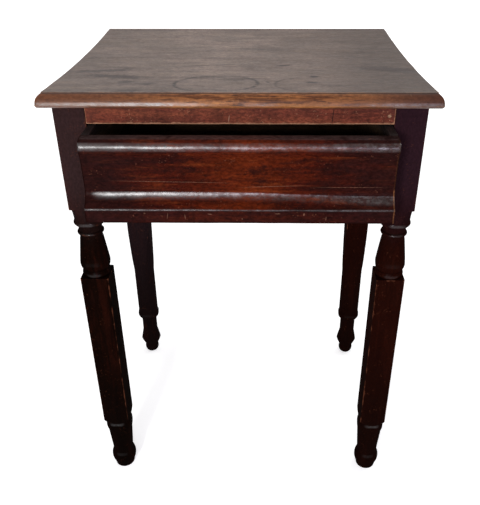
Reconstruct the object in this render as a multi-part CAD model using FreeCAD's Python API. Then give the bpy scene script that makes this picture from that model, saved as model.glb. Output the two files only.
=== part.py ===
import FreeCAD, Part
import math
import os

# One-drawer stand table, millimetres. X runs to the right, Y to the back and Z up.
# The origin lies on the floor under the middle of the whole table with its drawer ajar.
# Two front legs are part turned and part left square; the drawer front is an ogee.

# Top board
table_height = 735.0
top_width = 540.0
top_depth = 445.0
top_thickness = 20.0
end_overhang = 13.0
front_overhang = 28.0
back_overhang = 22.0
edge_moulding_width = 9.0
edge_moulding_fillet = 1.2
edge_nose_radius = 4.0
edge_quirk = 0.4
edge_ovolo_foot = 5.0
edge_ovolo_bulge = 2.0

# Frame: the legs run up as square posts to the underside of the top
leg_square = 45.0
apron_height = 162.0
apron_thickness = 20.0
apron_set_back = 2.0
top_rail_height = 30.0
top_rail_thickness = 24.0
lower_rail_thickness = 16.0
lower_rail_depth = 58.0

# Joints of the frame
tenon_thickness = 8.0
apron_tenon_length = 28.0
rail_tenon_length = 20.0
tenon_shoulder = 12.0
rail_tenon_shoulder = 4.0
mortise_clearance = 0.2
mortise_extra_depth = 2.0
peg_diameter = 6.0
peg_length = 19.0
peg_set_in = 13.0
peg_end_distance = 34.0
hole_clearance = 0.05

# Front legs: the turned foot, with heights above the floor
front_foot_radius = 17.5
front_foot_rim_radius = 18.7
front_foot_height = 6.0
foot_ring_bottom = 9.0
foot_ring_widest = 20.0
foot_ring_top = 37.0
foot_ring_radius = 22.4
foot_quirk_radius = 19.0
ankle_height = 42.0
ankle_radius = 18.6
calf_top = 93.0
calf_radius = 22.2
lower_ring_top = 118.0
lower_ring_radius = 24.6
lower_quirk_radius = 22.6
block_bottom = 120.0
pommel_height = 10.0
pommel_shoulder_radius = 29.5
pommel_shoulder_rise = 4.0

# Front legs: the turning between the frame and the square block, from the top down
shoulder_height = 22.5
shoulder_top_radius = 25.6
shoulder_waist_radius = 23.2
shoulder_neck_radius = 22.4
bead_height = 8.0
bead_radius = 24.1
throat_height = 11.0
throat_radius = 17.7
upper_ring_height = 5.4
upper_ring_radius = 20.6
upper_quirk_radius = 18.2
upper_cove_height = 8.1
upper_cove_radius = 17.5
vase_height = 65.5
vase_top_radius = 18.3
vase_belly_rise = 22.5
vase_belly_radius = 24.0
vase_swell_rise = 16.0
vase_swell_radius = 23.0
vase_neck_rise = 10.5
vase_neck_radius = 20.4
collar_height = 8.5
collar_radius = 22.4
collar_quirk_radius = 21.2

# Rear legs, with heights above the floor up to the long taper
rear_taper_below_frame = 208.0
rear_shaft_top = 228.0
rear_shaft_radius = 22.0
rear_ring_top = 117.0
rear_ring_bottom = 97.0
rear_ring_radius = 24.4
rear_quirk_radius = 18.2
rear_ankle_top = 92.0
rear_ankle_bottom = 62.0
rear_ankle_radius = 16.8
rear_cone_radius = 19.6
rear_flare_height = 36.0
rear_flare_radius = 22.2
rear_hollow_height = 25.0
rear_hollow_radius = 17.6
rear_waist_height = 18.0
rear_waist_radius = 14.2
rear_ball_radius = 15.6
rear_ball_middle = 9.0
rear_foot_radius = 11.5

# Drawer
drawer_open_at_rest = 46.0
drawer_front_inset = 8.0
drawer_side_clearance = 1.2
drawer_top_clearance = 2.3
slide_gap = 0.2
drawer_rear_clearance = 20.0
drawer_side_thickness = 11.0
drawer_back_thickness = 11.0
drawer_back_drop = 5.0
drawer_bottom_thickness = 8.0
drawer_bottom_tongue = 5.6
drawer_bottom_feather = 26.0
groove_height = 6.0
groove_depth = 5.0
groove_above_edge = 11.0
front_toe_out = 34.0
front_toe_height = 19.8
nose_centre = 11.0
nose_radius = 13.0
nose_wrap_angle = 30.0
neck_below_nose = 19.7
neck_out = 19.2
neck_bulge = 0.8
cove_out = 17.8
cove_radius = 20.0
cove_above_toe = 24.0
cove_wrap_angle = 47.5
dovetail_depth = 9.0
dovetail_count = 3
dovetail_half_pin = 7.0
dovetail_pin = 8.0
dovetail_slope = 1.0 / 6.0

# Drawer support inside the frame
runner_inner_overlap = 12.0
guide_height = 16.0
stop_length = 44.0
stop_width = 24.0
stop_height = 7.0
stop_from_post = 70.0
glue_block_side = 24.0
glue_block_length = 70.0
glue_block_spacing = 130.0

# Screws and nails
screw_diameter = 4.5
screw_head_diameter = 9.0
screw_head_height = 3.0
screw_length = 34.0
screw_recess = 8.0
screw_end_distance = 45.0
rail_screw_spacing = 250.0
nail_diameter = 2.2
nail_head_diameter = 5.0
nail_head_height = 1.0
nail_length = 30.0
bottom_nail_count = 4
bottom_nail_spacing = 90.0
guide_nail_end_distance = 40.0

# Waste that a cutting shape takes past the stock
cut_margin = 1.0

# Derived places
frame_top = table_height - top_thickness
apron_bottom = frame_top - apron_height
frame_width = top_width - 2 * end_overhang
frame_depth = top_depth - front_overhang - back_overhang
drawer_front_out = front_toe_out + drawer_open_at_rest - drawer_front_inset
face_y = (drawer_front_out - frame_depth - back_overhang) / 2.0
back_y = face_y + frame_depth
top_front_y = face_y - front_overhang
top_back_y = back_y + back_overhang
post_outer_x = frame_width / 2.0
post_inner_x = post_outer_x - leg_square
leg_axis_x = post_outer_x - leg_square / 2.0
front_axis_y = face_y + leg_square / 2.0
rear_axis_y = back_y - leg_square / 2.0
apron_outer_x = post_outer_x - apron_set_back
apron_inner_x = apron_outer_x - apron_thickness
back_apron_outer_y = back_y - apron_set_back
back_apron_inner_y = back_apron_outer_y - apron_thickness
lower_rail_top = apron_bottom + lower_rail_thickness
lower_rail_back_y = face_y + lower_rail_depth
top_rail_bottom = frame_top - top_rail_height
corner_radius = leg_square / math.sqrt(2.0)

# Turned heights of the front legs, from the frame down to the block
bead_top = apron_bottom - shoulder_height
bead_bottom = bead_top - bead_height
upper_ring_top = bead_bottom - throat_height
upper_ring_bottom = upper_ring_top - upper_ring_height
vase_top = upper_ring_bottom - upper_cove_height
block_top = vase_top - vase_height
rear_taper_top = apron_bottom - rear_taper_below_frame

# The drawer as it stands open at rest
drawer_z0 = lower_rail_top + slide_gap
drawer_z1 = top_rail_bottom - drawer_top_clearance
drawer_half_width = post_inner_x - drawer_side_clearance
drawer_inner_x = drawer_half_width - drawer_side_thickness
drawer_back_of_front_y = face_y + drawer_front_inset - drawer_open_at_rest
drawer_rear_y = back_apron_inner_y - drawer_rear_clearance - drawer_open_at_rest
drawer_back_y = drawer_rear_y - drawer_back_thickness
drawer_back_top = drawer_z1 - drawer_back_drop
groove_z0 = drawer_z0 + groove_above_edge
groove_z1 = groove_z0 + groove_height
bottom_underside = groove_z1 - drawer_bottom_thickness
support_inner_x = drawer_inner_x - runner_inner_overlap

def vec(x, y, z):
    return FreeCAD.Vector(x, y, z)


def box(x0, x1, y0, y1, z0, z1):
    return Part.makeBox(x1 - x0, y1 - y0, z1 - z0, vec(x0, y0, z0))


def fuse_all(shapes):
    """One clean solid from touching or overlapping shapes."""
    result = shapes[0]
    for shape in shapes[1:]:
        result = result.fuse(shape)
    return result.removeSplitter()


def cut_all(shape, tools):
    for tool in tools:
        shape = shape.cut(tool)
    return shape


def mirrored(shape):
    """The same shape on the other side of the table."""
    return shape.mirror(vec(0, 0, 0), vec(1, 0, 0))


def outline(start, moves, place):
    """Wire through lines (two numbers) and arcs (a middle and an end point, four numbers)."""
    edges = []
    here = start
    for move in moves:
        end = move[-2:]
        if len(move) == 2:
            edges.append(Part.makeLine(place(*here), place(*end)))
        else:
            edges.append(Part.Arc(place(*here), place(*move[:2]), place(*end)).toShape())
        here = end
    if here != start:
        edges.append(Part.makeLine(place(*here), place(*start)))
    return Part.Wire(edges)


def turned(start, moves):
    """Solid turned about the Z axis from a profile of (radius, height) points."""
    wire = outline(start, moves, lambda r, z: vec(r, 0, z))
    return Part.Face(wire).revolve(vec(0, 0, 0), vec(0, 0, 1), 360)


def cylinder(radius, length, base, axis):
    return Part.makeCylinder(radius, length, base, axis)


# ---------------------------------------------------------------- legs

def square_stock():
    half = leg_square / 2.0
    return box(-half, half, -half, half, 0, frame_top)


def front_leg_blank():
    """Square stock with a foot, a square block and a vase turned from it."""
    clear = leg_square
    lower_ring_middle = (calf_top + lower_ring_top) / 2.0
    collar_middle = block_top + collar_height / 2.0
    upper_cove_middle = (vase_top + upper_ring_bottom) / 2.0
    upper_ring_middle = (upper_ring_bottom + upper_ring_top) / 2.0
    bead_middle = (bead_bottom + bead_top) / 2.0
    shoulder_middle = (bead_top + apron_bottom) / 2.0
    profile = turned((0, 0), [
        (front_foot_radius, 0),
        (front_foot_rim_radius, front_foot_height),
        (foot_quirk_radius, foot_ring_bottom),
        (foot_ring_radius, foot_ring_widest, foot_quirk_radius, foot_ring_top),
        (ankle_radius, ankle_height),
        (calf_radius, calf_top),
        (lower_ring_radius, lower_ring_middle, lower_quirk_radius, lower_ring_top),
        (lower_quirk_radius, block_bottom),
        (pommel_shoulder_radius, block_bottom + pommel_shoulder_rise,
         corner_radius, block_bottom + pommel_height),
        (clear, block_bottom + pommel_height),
        (clear, block_top),
        (collar_quirk_radius, block_top),
        (collar_radius, collar_middle, collar_quirk_radius, block_top + collar_height),
        (vase_neck_radius, block_top + vase_neck_rise),
        (vase_swell_radius, block_top + vase_swell_rise,
         vase_belly_radius, block_top + vase_belly_rise),
        (vase_top_radius, vase_top),
        (upper_cove_radius, upper_cove_middle, upper_quirk_radius, upper_ring_bottom),
        (upper_ring_radius, upper_ring_middle, upper_quirk_radius, upper_ring_top),
        (throat_radius, bead_bottom),
        (bead_radius, bead_middle, shoulder_neck_radius, bead_top),
        (shoulder_waist_radius, shoulder_middle, shoulder_top_radius, apron_bottom),
        (clear, apron_bottom),
        (clear, frame_top),
        (0, frame_top),
    ])
    return square_stock().common(profile)


def rear_leg_blank():
    """Square stock that tapers to a round shaft, a ring, a flared ankle and a ball foot."""
    clear = leg_square
    ring_middle = (rear_ring_bottom + rear_ring_top) / 2.0
    cone_middle = (rear_ankle_bottom + rear_flare_height) / 2.0
    profile = turned((0, 0), [
        (rear_foot_radius, 0),
        (rear_ball_radius, rear_ball_middle, rear_waist_radius, rear_waist_height),
        (rear_hollow_radius, rear_hollow_height, rear_flare_radius, rear_flare_height),
        (rear_cone_radius, cone_middle, rear_ankle_radius, rear_ankle_bottom),
        (rear_ankle_radius, rear_ankle_top),
        (rear_quirk_radius, rear_ring_bottom),
        (rear_ring_radius, ring_middle, rear_shaft_radius, rear_ring_top),
        (rear_shaft_radius, rear_shaft_top),
        (corner_radius, rear_taper_top),
        (clear, rear_taper_top),
        (clear, frame_top),
        (0, frame_top),
    ])
    return square_stock().common(profile)


# ---------------------------------------------------------------- frame

def apron_tenon_z():
    return apron_bottom + tenon_shoulder, frame_top - tenon_shoulder


def side_tenon(y_shoulder, direction, grow=0.0, extra=0.0):
    """Tenon of a side apron, or with grow and extra its mortise, on the right-hand side."""
    z0, z1 = apron_tenon_z()
    middle = (apron_outer_x + apron_inner_x) / 2.0
    half = tenon_thickness / 2.0 + grow
    reach = y_shoulder + direction * (apron_tenon_length + extra)
    y0, y1 = sorted((y_shoulder, reach))
    return box(middle - half, middle + half, y0, y1, z0 - grow, z1 + grow)


def back_tenon(grow=0.0, extra=0.0):
    """Right-hand tenon of the back apron, or its mortise."""
    z0, z1 = apron_tenon_z()
    middle = (back_apron_outer_y + back_apron_inner_y) / 2.0
    half = tenon_thickness / 2.0 + grow
    reach = post_inner_x + rail_tenon_length + extra
    return box(post_inner_x, reach, middle - half, middle + half, z0 - grow, z1 + grow)


def rail_tenon(y_middle, width, z0, z1, grow=0.0, extra=0.0):
    """Right-hand tenon of a front rail, or its mortise."""
    half = width / 2.0 + grow
    reach = post_inner_x + rail_tenon_length + extra
    return box(post_inner_x, reach, y_middle - half, y_middle + half, z0 - grow, z1 + grow)


def top_rail_tenon(grow=0.0, extra=0.0):
    return rail_tenon(face_y + top_rail_thickness / 2.0, tenon_thickness,
                      top_rail_bottom + rail_tenon_shoulder, frame_top - rail_tenon_shoulder,
                      grow, extra)


def lower_rail_tenon(grow=0.0, extra=0.0):
    return rail_tenon(front_axis_y, leg_square - 2 * tenon_shoulder,
                      apron_bottom + rail_tenon_shoulder, lower_rail_top - rail_tenon_shoulder,
                      grow, extra)


def peg_heights():
    z0, z1 = apron_tenon_z()
    return z0 + peg_end_distance, z1 - peg_end_distance


def peg_places():
    """Base point and direction of every peg on the right-hand side."""
    places = []
    for z in peg_heights():
        front_y = face_y + leg_square - peg_set_in
        rear_y = back_y - leg_square + peg_set_in
        places.append((vec(post_outer_x, front_y, z), vec(-1, 0, 0)))
        places.append((vec(post_outer_x, rear_y, z), vec(-1, 0, 0)))
        places.append((vec(post_inner_x + peg_set_in, back_y, z), vec(0, -1, 0)))
    return places


def pegs(radius):
    return [cylinder(radius, peg_length, base, axis) for base, axis in peg_places()]


def both_sides(shapes):
    return shapes + [mirrored(shape) for shape in shapes]


def peg_holes():
    return pegs(peg_diameter / 2.0 + hole_clearance)


def right_front_leg():
    grow = mortise_clearance
    extra = mortise_extra_depth
    leg = front_leg_blank()
    leg.translate(vec(leg_axis_x, front_axis_y, 0))
    mortises = [
        side_tenon(face_y + leg_square, -1, grow, extra),
        top_rail_tenon(grow, extra),
        lower_rail_tenon(grow, extra),
    ]
    return cut_all(leg, mortises + peg_holes())


def right_rear_leg():
    grow = mortise_clearance
    extra = mortise_extra_depth
    leg = rear_leg_blank()
    leg.translate(vec(leg_axis_x, rear_axis_y, 0))
    mortises = [side_tenon(back_y - leg_square, 1, grow, extra), back_tenon(grow, extra)]
    return cut_all(leg, mortises + peg_holes())


def right_side_apron():
    front_shoulder = face_y + leg_square
    rear_shoulder = back_y - leg_square
    board = box(apron_inner_x, apron_outer_x, front_shoulder, rear_shoulder,
                apron_bottom, frame_top)
    tenons = [side_tenon(front_shoulder, -1), side_tenon(rear_shoulder, 1)]
    apron = fuse_all([board] + tenons)
    return cut_all(apron, peg_holes() + guide_nails(hole_clearance))


def back_apron():
    board = box(-post_inner_x, post_inner_x, back_apron_inner_y, back_apron_outer_y,
                apron_bottom, frame_top)
    apron = fuse_all([board] + both_sides([back_tenon()]))
    return cut_all(apron, both_sides(peg_holes()))


def front_top_rail():
    board = box(-post_inner_x, post_inner_x, face_y, face_y + top_rail_thickness,
                top_rail_bottom, frame_top)
    rail = fuse_all([board] + both_sides([top_rail_tenon()]))
    return cut_all(rail, rail_screws(hole_clearance))


def front_lower_rail():
    board = box(-post_inner_x, post_inner_x, face_y, lower_rail_back_y,
                apron_bottom, lower_rail_top)
    return fuse_all([board] + both_sides([lower_rail_tenon()]))


# ---------------------------------------------------------------- top

def bowed(start, end, bulge):
    """Arc move from start to end whose middle stands bulge to the right of the chord."""
    run = end[0] - start[0]
    rise = end[1] - start[1]
    chord = math.hypot(run, rise)
    return ((start[0] + end[0]) / 2.0 + bulge * rise / chord,
            (start[1] + end[1]) / 2.0 - bulge * run / chord) + end


def moulded_edge_cutter(length):
    """Waste outside the moulded edge: an ovolo under a fillet, then a rounded nose.

    The edge runs along X with the board behind it, its outermost line at y = 0, z = 0 below.
    """
    ovolo_start = (edge_moulding_width, top_thickness - edge_moulding_fillet)
    ovolo_end = (edge_quirk, edge_ovolo_foot)
    nose_start = (0, edge_nose_radius)
    nose_end = (edge_nose_radius, 0)
    sagitta = edge_nose_radius * (1 - math.sqrt(0.5))
    wire = outline((edge_moulding_width, top_thickness + cut_margin), [
        ovolo_start,
        bowed(ovolo_start, ovolo_end, edge_ovolo_bulge),
        nose_start,
        (sagitta, sagitta) + nose_end,
        (edge_nose_radius, -cut_margin),
        (-cut_margin, -cut_margin),
        (-cut_margin, top_thickness + cut_margin),
    ], lambda y, z: vec(0, y, z))
    return Part.Face(wire).extrude(vec(length, 0, 0))


def top_board():
    """Board moulded at the front and both ends and left square at the back."""
    half = top_width / 2.0
    board = box(-half, half, top_front_y, top_back_y, frame_top, table_height)
    front = moulded_edge_cutter(top_width + 2 * cut_margin)
    front.translate(vec(-half - cut_margin, top_front_y, frame_top))
    end = moulded_edge_cutter(top_depth + 2 * cut_margin)
    end.rotate(vec(0, 0, 0), vec(0, 0, 1), 90)
    end.translate(vec(half, top_front_y - cut_margin, frame_top))
    holes = both_sides(kicker_screws(hole_clearance)) + rail_screws(hole_clearance)
    return cut_all(board, [front, end, mirrored(end)] + holes)


# ---------------------------------------------------------------- drawer

def ogee_front_blank():
    """Drawer front: a rounded nose, a flat face and a cove that flares to a plain toe."""
    z_nose = drawer_z1 - nose_radius
    z_toe = drawer_z0 + front_toe_height
    z_cove = z_toe + cove_above_toe
    wrap = math.radians(nose_wrap_angle)
    sweep = math.radians(cove_wrap_angle)
    nose_end = (nose_centre + nose_radius * math.cos(wrap), z_nose - nose_radius * math.sin(wrap))
    neck = (neck_out, z_nose - neck_below_nose)

    def on_cove(angle):
        return (cove_out + cove_radius * (1 - math.cos(angle)),
                z_cove - cove_radius * math.sin(angle))

    wire = outline((0, drawer_z0), [
        (0, drawer_z1),
        (nose_centre, drawer_z1),
        (nose_centre + nose_radius, z_nose) + nose_end,
        bowed(nose_end, neck, neck_bulge),
        (cove_out, z_cove),
        on_cove(sweep / 2.0) + on_cove(sweep),
        (front_toe_out, z_toe),
        (front_toe_out, drawer_z0),
    ], lambda out, z: vec(-drawer_half_width, drawer_back_of_front_y - out, z))
    return Part.Face(wire).extrude(vec(2 * drawer_half_width, 0, 0))


def dovetail_heights(z0, z1):
    """Bottom and top of each tail at its wide end."""
    spare = z1 - z0 - 2 * dovetail_half_pin - (dovetail_count - 1) * dovetail_pin
    height = spare / dovetail_count
    step = height + dovetail_pin
    return [(z0 + dovetail_half_pin + i * step, z0 + dovetail_half_pin + i * step + height)
            for i in range(dovetail_count)]


def tails(y_root, y_tip, z0, z1):
    """Dovetails of the right-hand drawer side, wide at the tip and narrow at the root."""
    narrow = abs(y_tip - y_root) * dovetail_slope
    prisms = []
    for low, high in dovetail_heights(z0, z1):
        wire = outline((y_root, low + narrow), [
            (y_tip, low),
            (y_tip, high),
            (y_root, high - narrow),
        ], lambda y, z: vec(drawer_inner_x, y, z))
        prisms.append(Part.Face(wire).extrude(vec(drawer_side_thickness, 0, 0)))
    return prisms


def front_tails():
    return tails(drawer_back_of_front_y, drawer_back_of_front_y - dovetail_depth,
                 groove_z1, drawer_z1)


def rear_tails():
    return tails(drawer_back_y, drawer_rear_y, groove_z1, drawer_back_top)


def groove():
    """Space that the tongue of the drawer bottom fills, open under the drawer back."""
    reach = drawer_inner_x + groove_depth
    return box(-reach, reach, drawer_back_of_front_y - groove_depth,
               drawer_rear_y + cut_margin, groove_z0, groove_z1)


def drawer_front():
    return cut_all(ogee_front_blank(), [groove()] + both_sides(front_tails()))


def drawer_right_side():
    board = box(drawer_inner_x, drawer_half_width, drawer_back_of_front_y, drawer_back_y,
                drawer_z0, drawer_z1)
    foot = box(drawer_inner_x, drawer_half_width, drawer_back_y, drawer_rear_y,
               drawer_z0, groove_z1)
    return fuse_all([board, foot] + front_tails() + rear_tails()).cut(groove())


def drawer_back():
    board = box(-drawer_half_width, drawer_half_width, drawer_back_y, drawer_rear_y,
                groove_z1, drawer_back_top)
    return cut_all(board, both_sides(rear_tails()) + bottom_nails(hole_clearance))


def feather_cutter():
    """Wedge that thins the underside of the bottom towards a tongue, lying along X."""
    waste = drawer_bottom_thickness - drawer_bottom_tongue
    wire = outline((0, 0), [
        (-cut_margin, 0),
        (-cut_margin, waste),
        (groove_depth, waste),
        (groove_depth + drawer_bottom_feather, 0),
    ], lambda y, z: vec(0, y, z))
    return Part.Face(wire)


def drawer_bottom():
    """Panel with feathered edges in the grooves, slid in from behind under the back."""
    reach = drawer_inner_x + groove_depth - mortise_clearance
    front_edge = drawer_back_of_front_y - groove_depth + mortise_clearance
    panel = box(-reach, reach, front_edge, drawer_rear_y, bottom_underside, groove_z1)
    front = feather_cutter().extrude(vec(2 * (reach + cut_margin), 0, 0))
    front.translate(vec(-reach - cut_margin, front_edge, bottom_underside))
    end = feather_cutter().extrude(vec(drawer_rear_y - front_edge + 2 * cut_margin, 0, 0))
    end.rotate(vec(0, 0, 0), vec(0, 0, 1), 90)
    end.translate(vec(reach, front_edge - cut_margin, bottom_underside))
    return cut_all(panel, [front, end, mirrored(end)] + bottom_nails(hole_clearance))


# ---------------------------------------------------------------- inside the frame

def right_runner():
    """Ledge that the drawer side slides on, notched round the rear post."""
    ledge = box(support_inner_x, apron_inner_x, lower_rail_back_y, back_apron_inner_y,
                apron_bottom, lower_rail_top)
    post = box(post_inner_x, post_outer_x, back_y - leg_square, back_y, 0, frame_top)
    return cut_all(ledge, [post] + guide_nails(hole_clearance))


def right_guide():
    """Strip beside the drawer that keeps it straight."""
    strip = box(post_inner_x, apron_inner_x, lower_rail_back_y, back_y - leg_square,
                lower_rail_top, lower_rail_top + guide_height)
    return cut_all(strip, guide_nails(hole_clearance))


def right_kicker():
    """Strip over the drawer side that stops the drawer tipping, screwed to the top."""
    strip = box(support_inner_x, apron_inner_x, face_y + top_rail_thickness, back_apron_inner_y,
                top_rail_bottom, frame_top)
    posts = [
        box(post_inner_x, post_outer_x, face_y, face_y + leg_square, 0, frame_top),
        box(post_inner_x, post_outer_x, back_y - leg_square, back_y, 0, frame_top),
    ]
    return cut_all(strip, posts + kicker_screws(hole_clearance))


def drawer_stops():
    """Two blocks on the lower rail that the closed drawer front meets."""
    y0 = face_y + drawer_front_inset + slide_gap
    x1 = post_inner_x - stop_from_post
    block = box(x1 - stop_length, x1, y0, y0 + stop_width,
                lower_rail_top, lower_rail_top + stop_height)
    return Part.Compound(both_sides([block]))


def glue_blocks():
    """Three-cornered blocks rubbed in between the back apron and the top."""
    blocks = []
    for i in (-1, 0, 1):
        x0 = i * glue_block_spacing - glue_block_length / 2.0
        wire = outline((back_apron_inner_y, frame_top), [
            (back_apron_inner_y - glue_block_side, frame_top),
            (back_apron_inner_y, frame_top - glue_block_side),
        ], lambda y, z: vec(x0, y, z))
        blocks.append(Part.Face(wire).extrude(vec(glue_block_length, 0, 0)))
    return Part.Compound(blocks)


# ---------------------------------------------------------------- fasteners

def screw(x, y, seat_z, grow):
    """Wood screw driven upwards with its head at seat_z; with grow its hole."""
    shank = cylinder(screw_diameter / 2.0 + grow, screw_length, vec(x, y, seat_z), vec(0, 0, 1))
    head = Part.makeCone(screw_head_diameter / 2.0 + grow, screw_diameter / 2.0 + grow,
                         screw_head_height, vec(x, y, seat_z), vec(0, 0, 1))
    if not grow:
        return fuse_all([shank, head])
    recess = cylinder(screw_head_diameter / 2.0 + grow, screw_recess,
                      vec(x, y, seat_z - screw_recess), vec(0, 0, 1))
    return fuse_all([shank, head, recess])


def kicker_screws(grow=0.0):
    x = (support_inner_x + post_inner_x) / 2.0
    front_y = face_y + leg_square + screw_end_distance
    rear_y = back_y - leg_square - screw_end_distance
    seat = top_rail_bottom + screw_recess
    return [screw(x, y, seat, grow) for y in (front_y, (front_y + rear_y) / 2.0, rear_y)]


def rail_screws(grow=0.0):
    y = face_y + top_rail_thickness / 2.0
    seat = top_rail_bottom + screw_recess
    return [screw(x, y, seat, grow) for x in (-rail_screw_spacing / 2.0, rail_screw_spacing / 2.0)]


def nail(base, axis, grow):
    """Cut nail with its head flush at base; with grow its hole."""
    shank = cylinder(nail_diameter / 2.0 + grow, nail_length + grow, base, axis)
    head = cylinder(nail_head_diameter / 2.0 + grow, nail_head_height + grow, base, axis)
    return fuse_all([shank, head])


def bottom_nails(grow=0.0):
    y = drawer_rear_y - drawer_back_thickness / 2.0
    x0 = -bottom_nail_spacing * (bottom_nail_count - 1) / 2.0
    return [nail(vec(x0 + i * bottom_nail_spacing, y, bottom_underside), vec(0, 0, 1), grow)
            for i in range(bottom_nail_count)]


def guide_nails(grow=0.0):
    """Nails through the right-hand guide and runner into the side apron.

    The runner is wider than a nail is long, so its nails are driven down deep holes.
    """
    y0 = lower_rail_back_y + guide_nail_end_distance
    y1 = back_y - leg_square - guide_nail_end_distance
    guide_z = lower_rail_top + guide_height / 2.0
    runner_z = lower_rail_top - lower_rail_thickness / 2.0
    runner_x = apron_inner_x - nail_length / 2.0
    inward = vec(1, 0, 0)
    nails = [nail(vec(post_inner_x, y, guide_z), inward, grow) for y in (y0, (y0 + y1) / 2.0, y1)]
    nails += [nail(vec(runner_x, y, runner_z), inward, grow) for y in (y0, y1)]
    if grow:
        nails += [cylinder(nail_head_diameter / 2.0 + grow, runner_x - support_inner_x,
                           vec(support_inner_x, y, runner_z), inward) for y in (y0, y1)]
    return nails


# ---------------------------------------------------------------- assembly

def build():
    front_leg = right_front_leg()
    rear_leg = right_rear_leg()
    apron = right_side_apron()
    side = drawer_right_side()
    runner = right_runner()
    guide = right_guide()
    kicker = right_kicker()
    return {
        "top_board": top_board(),
        "front_top_rail": front_top_rail(),
        "front_lower_rail": front_lower_rail(),
        "back_apron": back_apron(),
        "right_side_apron": apron,
        "left_side_apron": mirrored(apron),
        "front_right_leg": front_leg,
        "front_left_leg": mirrored(front_leg),
        "rear_right_leg": rear_leg,
        "rear_left_leg": mirrored(rear_leg),
        "drawer_front": drawer_front(),
        "drawer_right_side": side,
        "drawer_left_side": mirrored(side),
        "drawer_back": drawer_back(),
        "drawer_bottom": drawer_bottom(),
        "right_drawer_runner": runner,
        "left_drawer_runner": mirrored(runner),
        "right_drawer_guide": guide,
        "left_drawer_guide": mirrored(guide),
        "right_kicker": kicker,
        "left_kicker": mirrored(kicker),
        "drawer_stops": drawer_stops(),
        "glue_blocks": glue_blocks(),
        "tenon_pegs": Part.Compound(both_sides(pegs(peg_diameter / 2.0))),
        "top_screws": Part.Compound(both_sides(kicker_screws()) + rail_screws()),
        "drawer_bottom_nails": Part.Compound(bottom_nails()),
        "runner_nails": Part.Compound(both_sides(guide_nails())),
    }


def main():
    os.makedirs("parts", exist_ok=True)
    for name, shape in build().items():
        shape.exportStep("parts/" + name + ".step")
        box_now = shape.BoundBox
        print("%-20s %2d solids, volume %9.0f, size %5.0f %5.0f %5.0f" % (
            name, len(shape.Solids), shape.Volume,
            box_now.XLength, box_now.YLength, box_now.ZLength))


main()
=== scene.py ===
# %% [markdown]
# A one-drawer stand table of old, dark, varnished wood. Two front legs are part turned and part
# left square, the drawer front is an ogee, and the top is one wide plank with a moulded edge.
# The construction model is loaded first as a fixed frame. It says where every piece is, so each
# visible piece below is built at those same places, in metres, and only the looks are added here.

# %% Load the frame
import math

import bpy
import numpy as np
from mathutils import Matrix, Vector


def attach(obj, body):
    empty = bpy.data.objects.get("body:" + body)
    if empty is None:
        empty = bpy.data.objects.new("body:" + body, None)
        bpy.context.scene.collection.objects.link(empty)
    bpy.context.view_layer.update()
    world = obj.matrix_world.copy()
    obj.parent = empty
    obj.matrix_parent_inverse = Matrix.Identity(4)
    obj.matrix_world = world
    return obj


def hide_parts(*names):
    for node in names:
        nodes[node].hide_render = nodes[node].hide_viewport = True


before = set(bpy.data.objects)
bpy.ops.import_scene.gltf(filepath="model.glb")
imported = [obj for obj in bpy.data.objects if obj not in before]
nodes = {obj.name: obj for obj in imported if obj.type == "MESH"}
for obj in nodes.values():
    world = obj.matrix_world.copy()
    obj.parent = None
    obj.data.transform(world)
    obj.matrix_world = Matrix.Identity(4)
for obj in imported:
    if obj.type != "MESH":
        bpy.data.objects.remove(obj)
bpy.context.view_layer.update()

# %% [markdown]
# The sizes are the maker's own, in millimetres, and the same as in the construction model.
# A maker thinks in millimetres and Blender in metres, so one factor turns the first into the
# second, and the figures below stay easy to check against a rule.

# %% Sizes
mm = 0.001
table_height = 735 * mm
top_thickness = 20 * mm
top_half_width = 270 * mm
top_front_y = -200.5 * mm
top_back_y = 244.5 * mm
frame_top = table_height - top_thickness
leg_square = 45 * mm
leg_axis_x = 234.5 * mm
front_axis_y = -150 * mm
rear_axis_y = 200 * mm
post_outer_x = 257 * mm
post_inner_x = 212 * mm
face_y = -172.5 * mm
back_y = 222.5 * mm
top_rail_bottom = 685 * mm
print("leg centres", leg_axis_x, front_axis_y, rear_axis_y)

# %% [markdown]
# Every piece below ends as one plain mesh. These helpers make it from points and faces, with the
# place in the mesh and the object at the origin, as the frame's own pieces are. They also read its
# points back and store a number on each, as an attribute that a material can read.

# %% Mesh helpers
def linked(name, data):
    made = bpy.data.objects.new(name, data)
    bpy.context.scene.collection.objects.link(made)
    return made


def piece(name, points, faces):
    mesh = bpy.data.meshes.new(name)
    mesh.from_pydata([tuple(p) for p in points], [], faces)
    mesh.validate()
    return linked(name, mesh)


def coordinates(mesh, kind="co"):
    """The places of a mesh's points, or their normals, as rows of three."""
    rows = np.zeros(len(mesh.vertices) * 3)
    mesh.vertices.foreach_get(kind, rows)
    return rows.reshape(-1, 3)


def store(mesh, name, values):
    mark = mesh.attributes.new(name, "FLOAT", "POINT")
    mark.data.foreach_set("value", np.asarray(values, np.float32))


def step(values, low, high):
    """0 below low, 1 above high and smooth between them."""
    share = np.clip((values - low) / (high - low), 0, 1)
    return share * share * (3 - 2 * share)


print("a half-way step is", step(0.5, 0, 1))

# %% [markdown]
# Old furniture is worn where it stands out and dirty where it sits in, and the hollows where it
# sits in are also darkened for the shade that falls there, which is painted shade. It could be
# painted on by hand, but the mesh itself knows where that is. Each point is compared with its
# neighbours, and the result is stored as an attribute: 0.5 on a flat, more on an arris and less
# in a quirk. The varnish reads it later. The last helper gives a piece its wood and says what it
# stands for.

# %% Worn arrises and finished pieces
ARRIS_REACH = 1.2 * mm
ARRIS_GAIN = 1.6
SHARP_ANGLE = math.radians(32)


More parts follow.
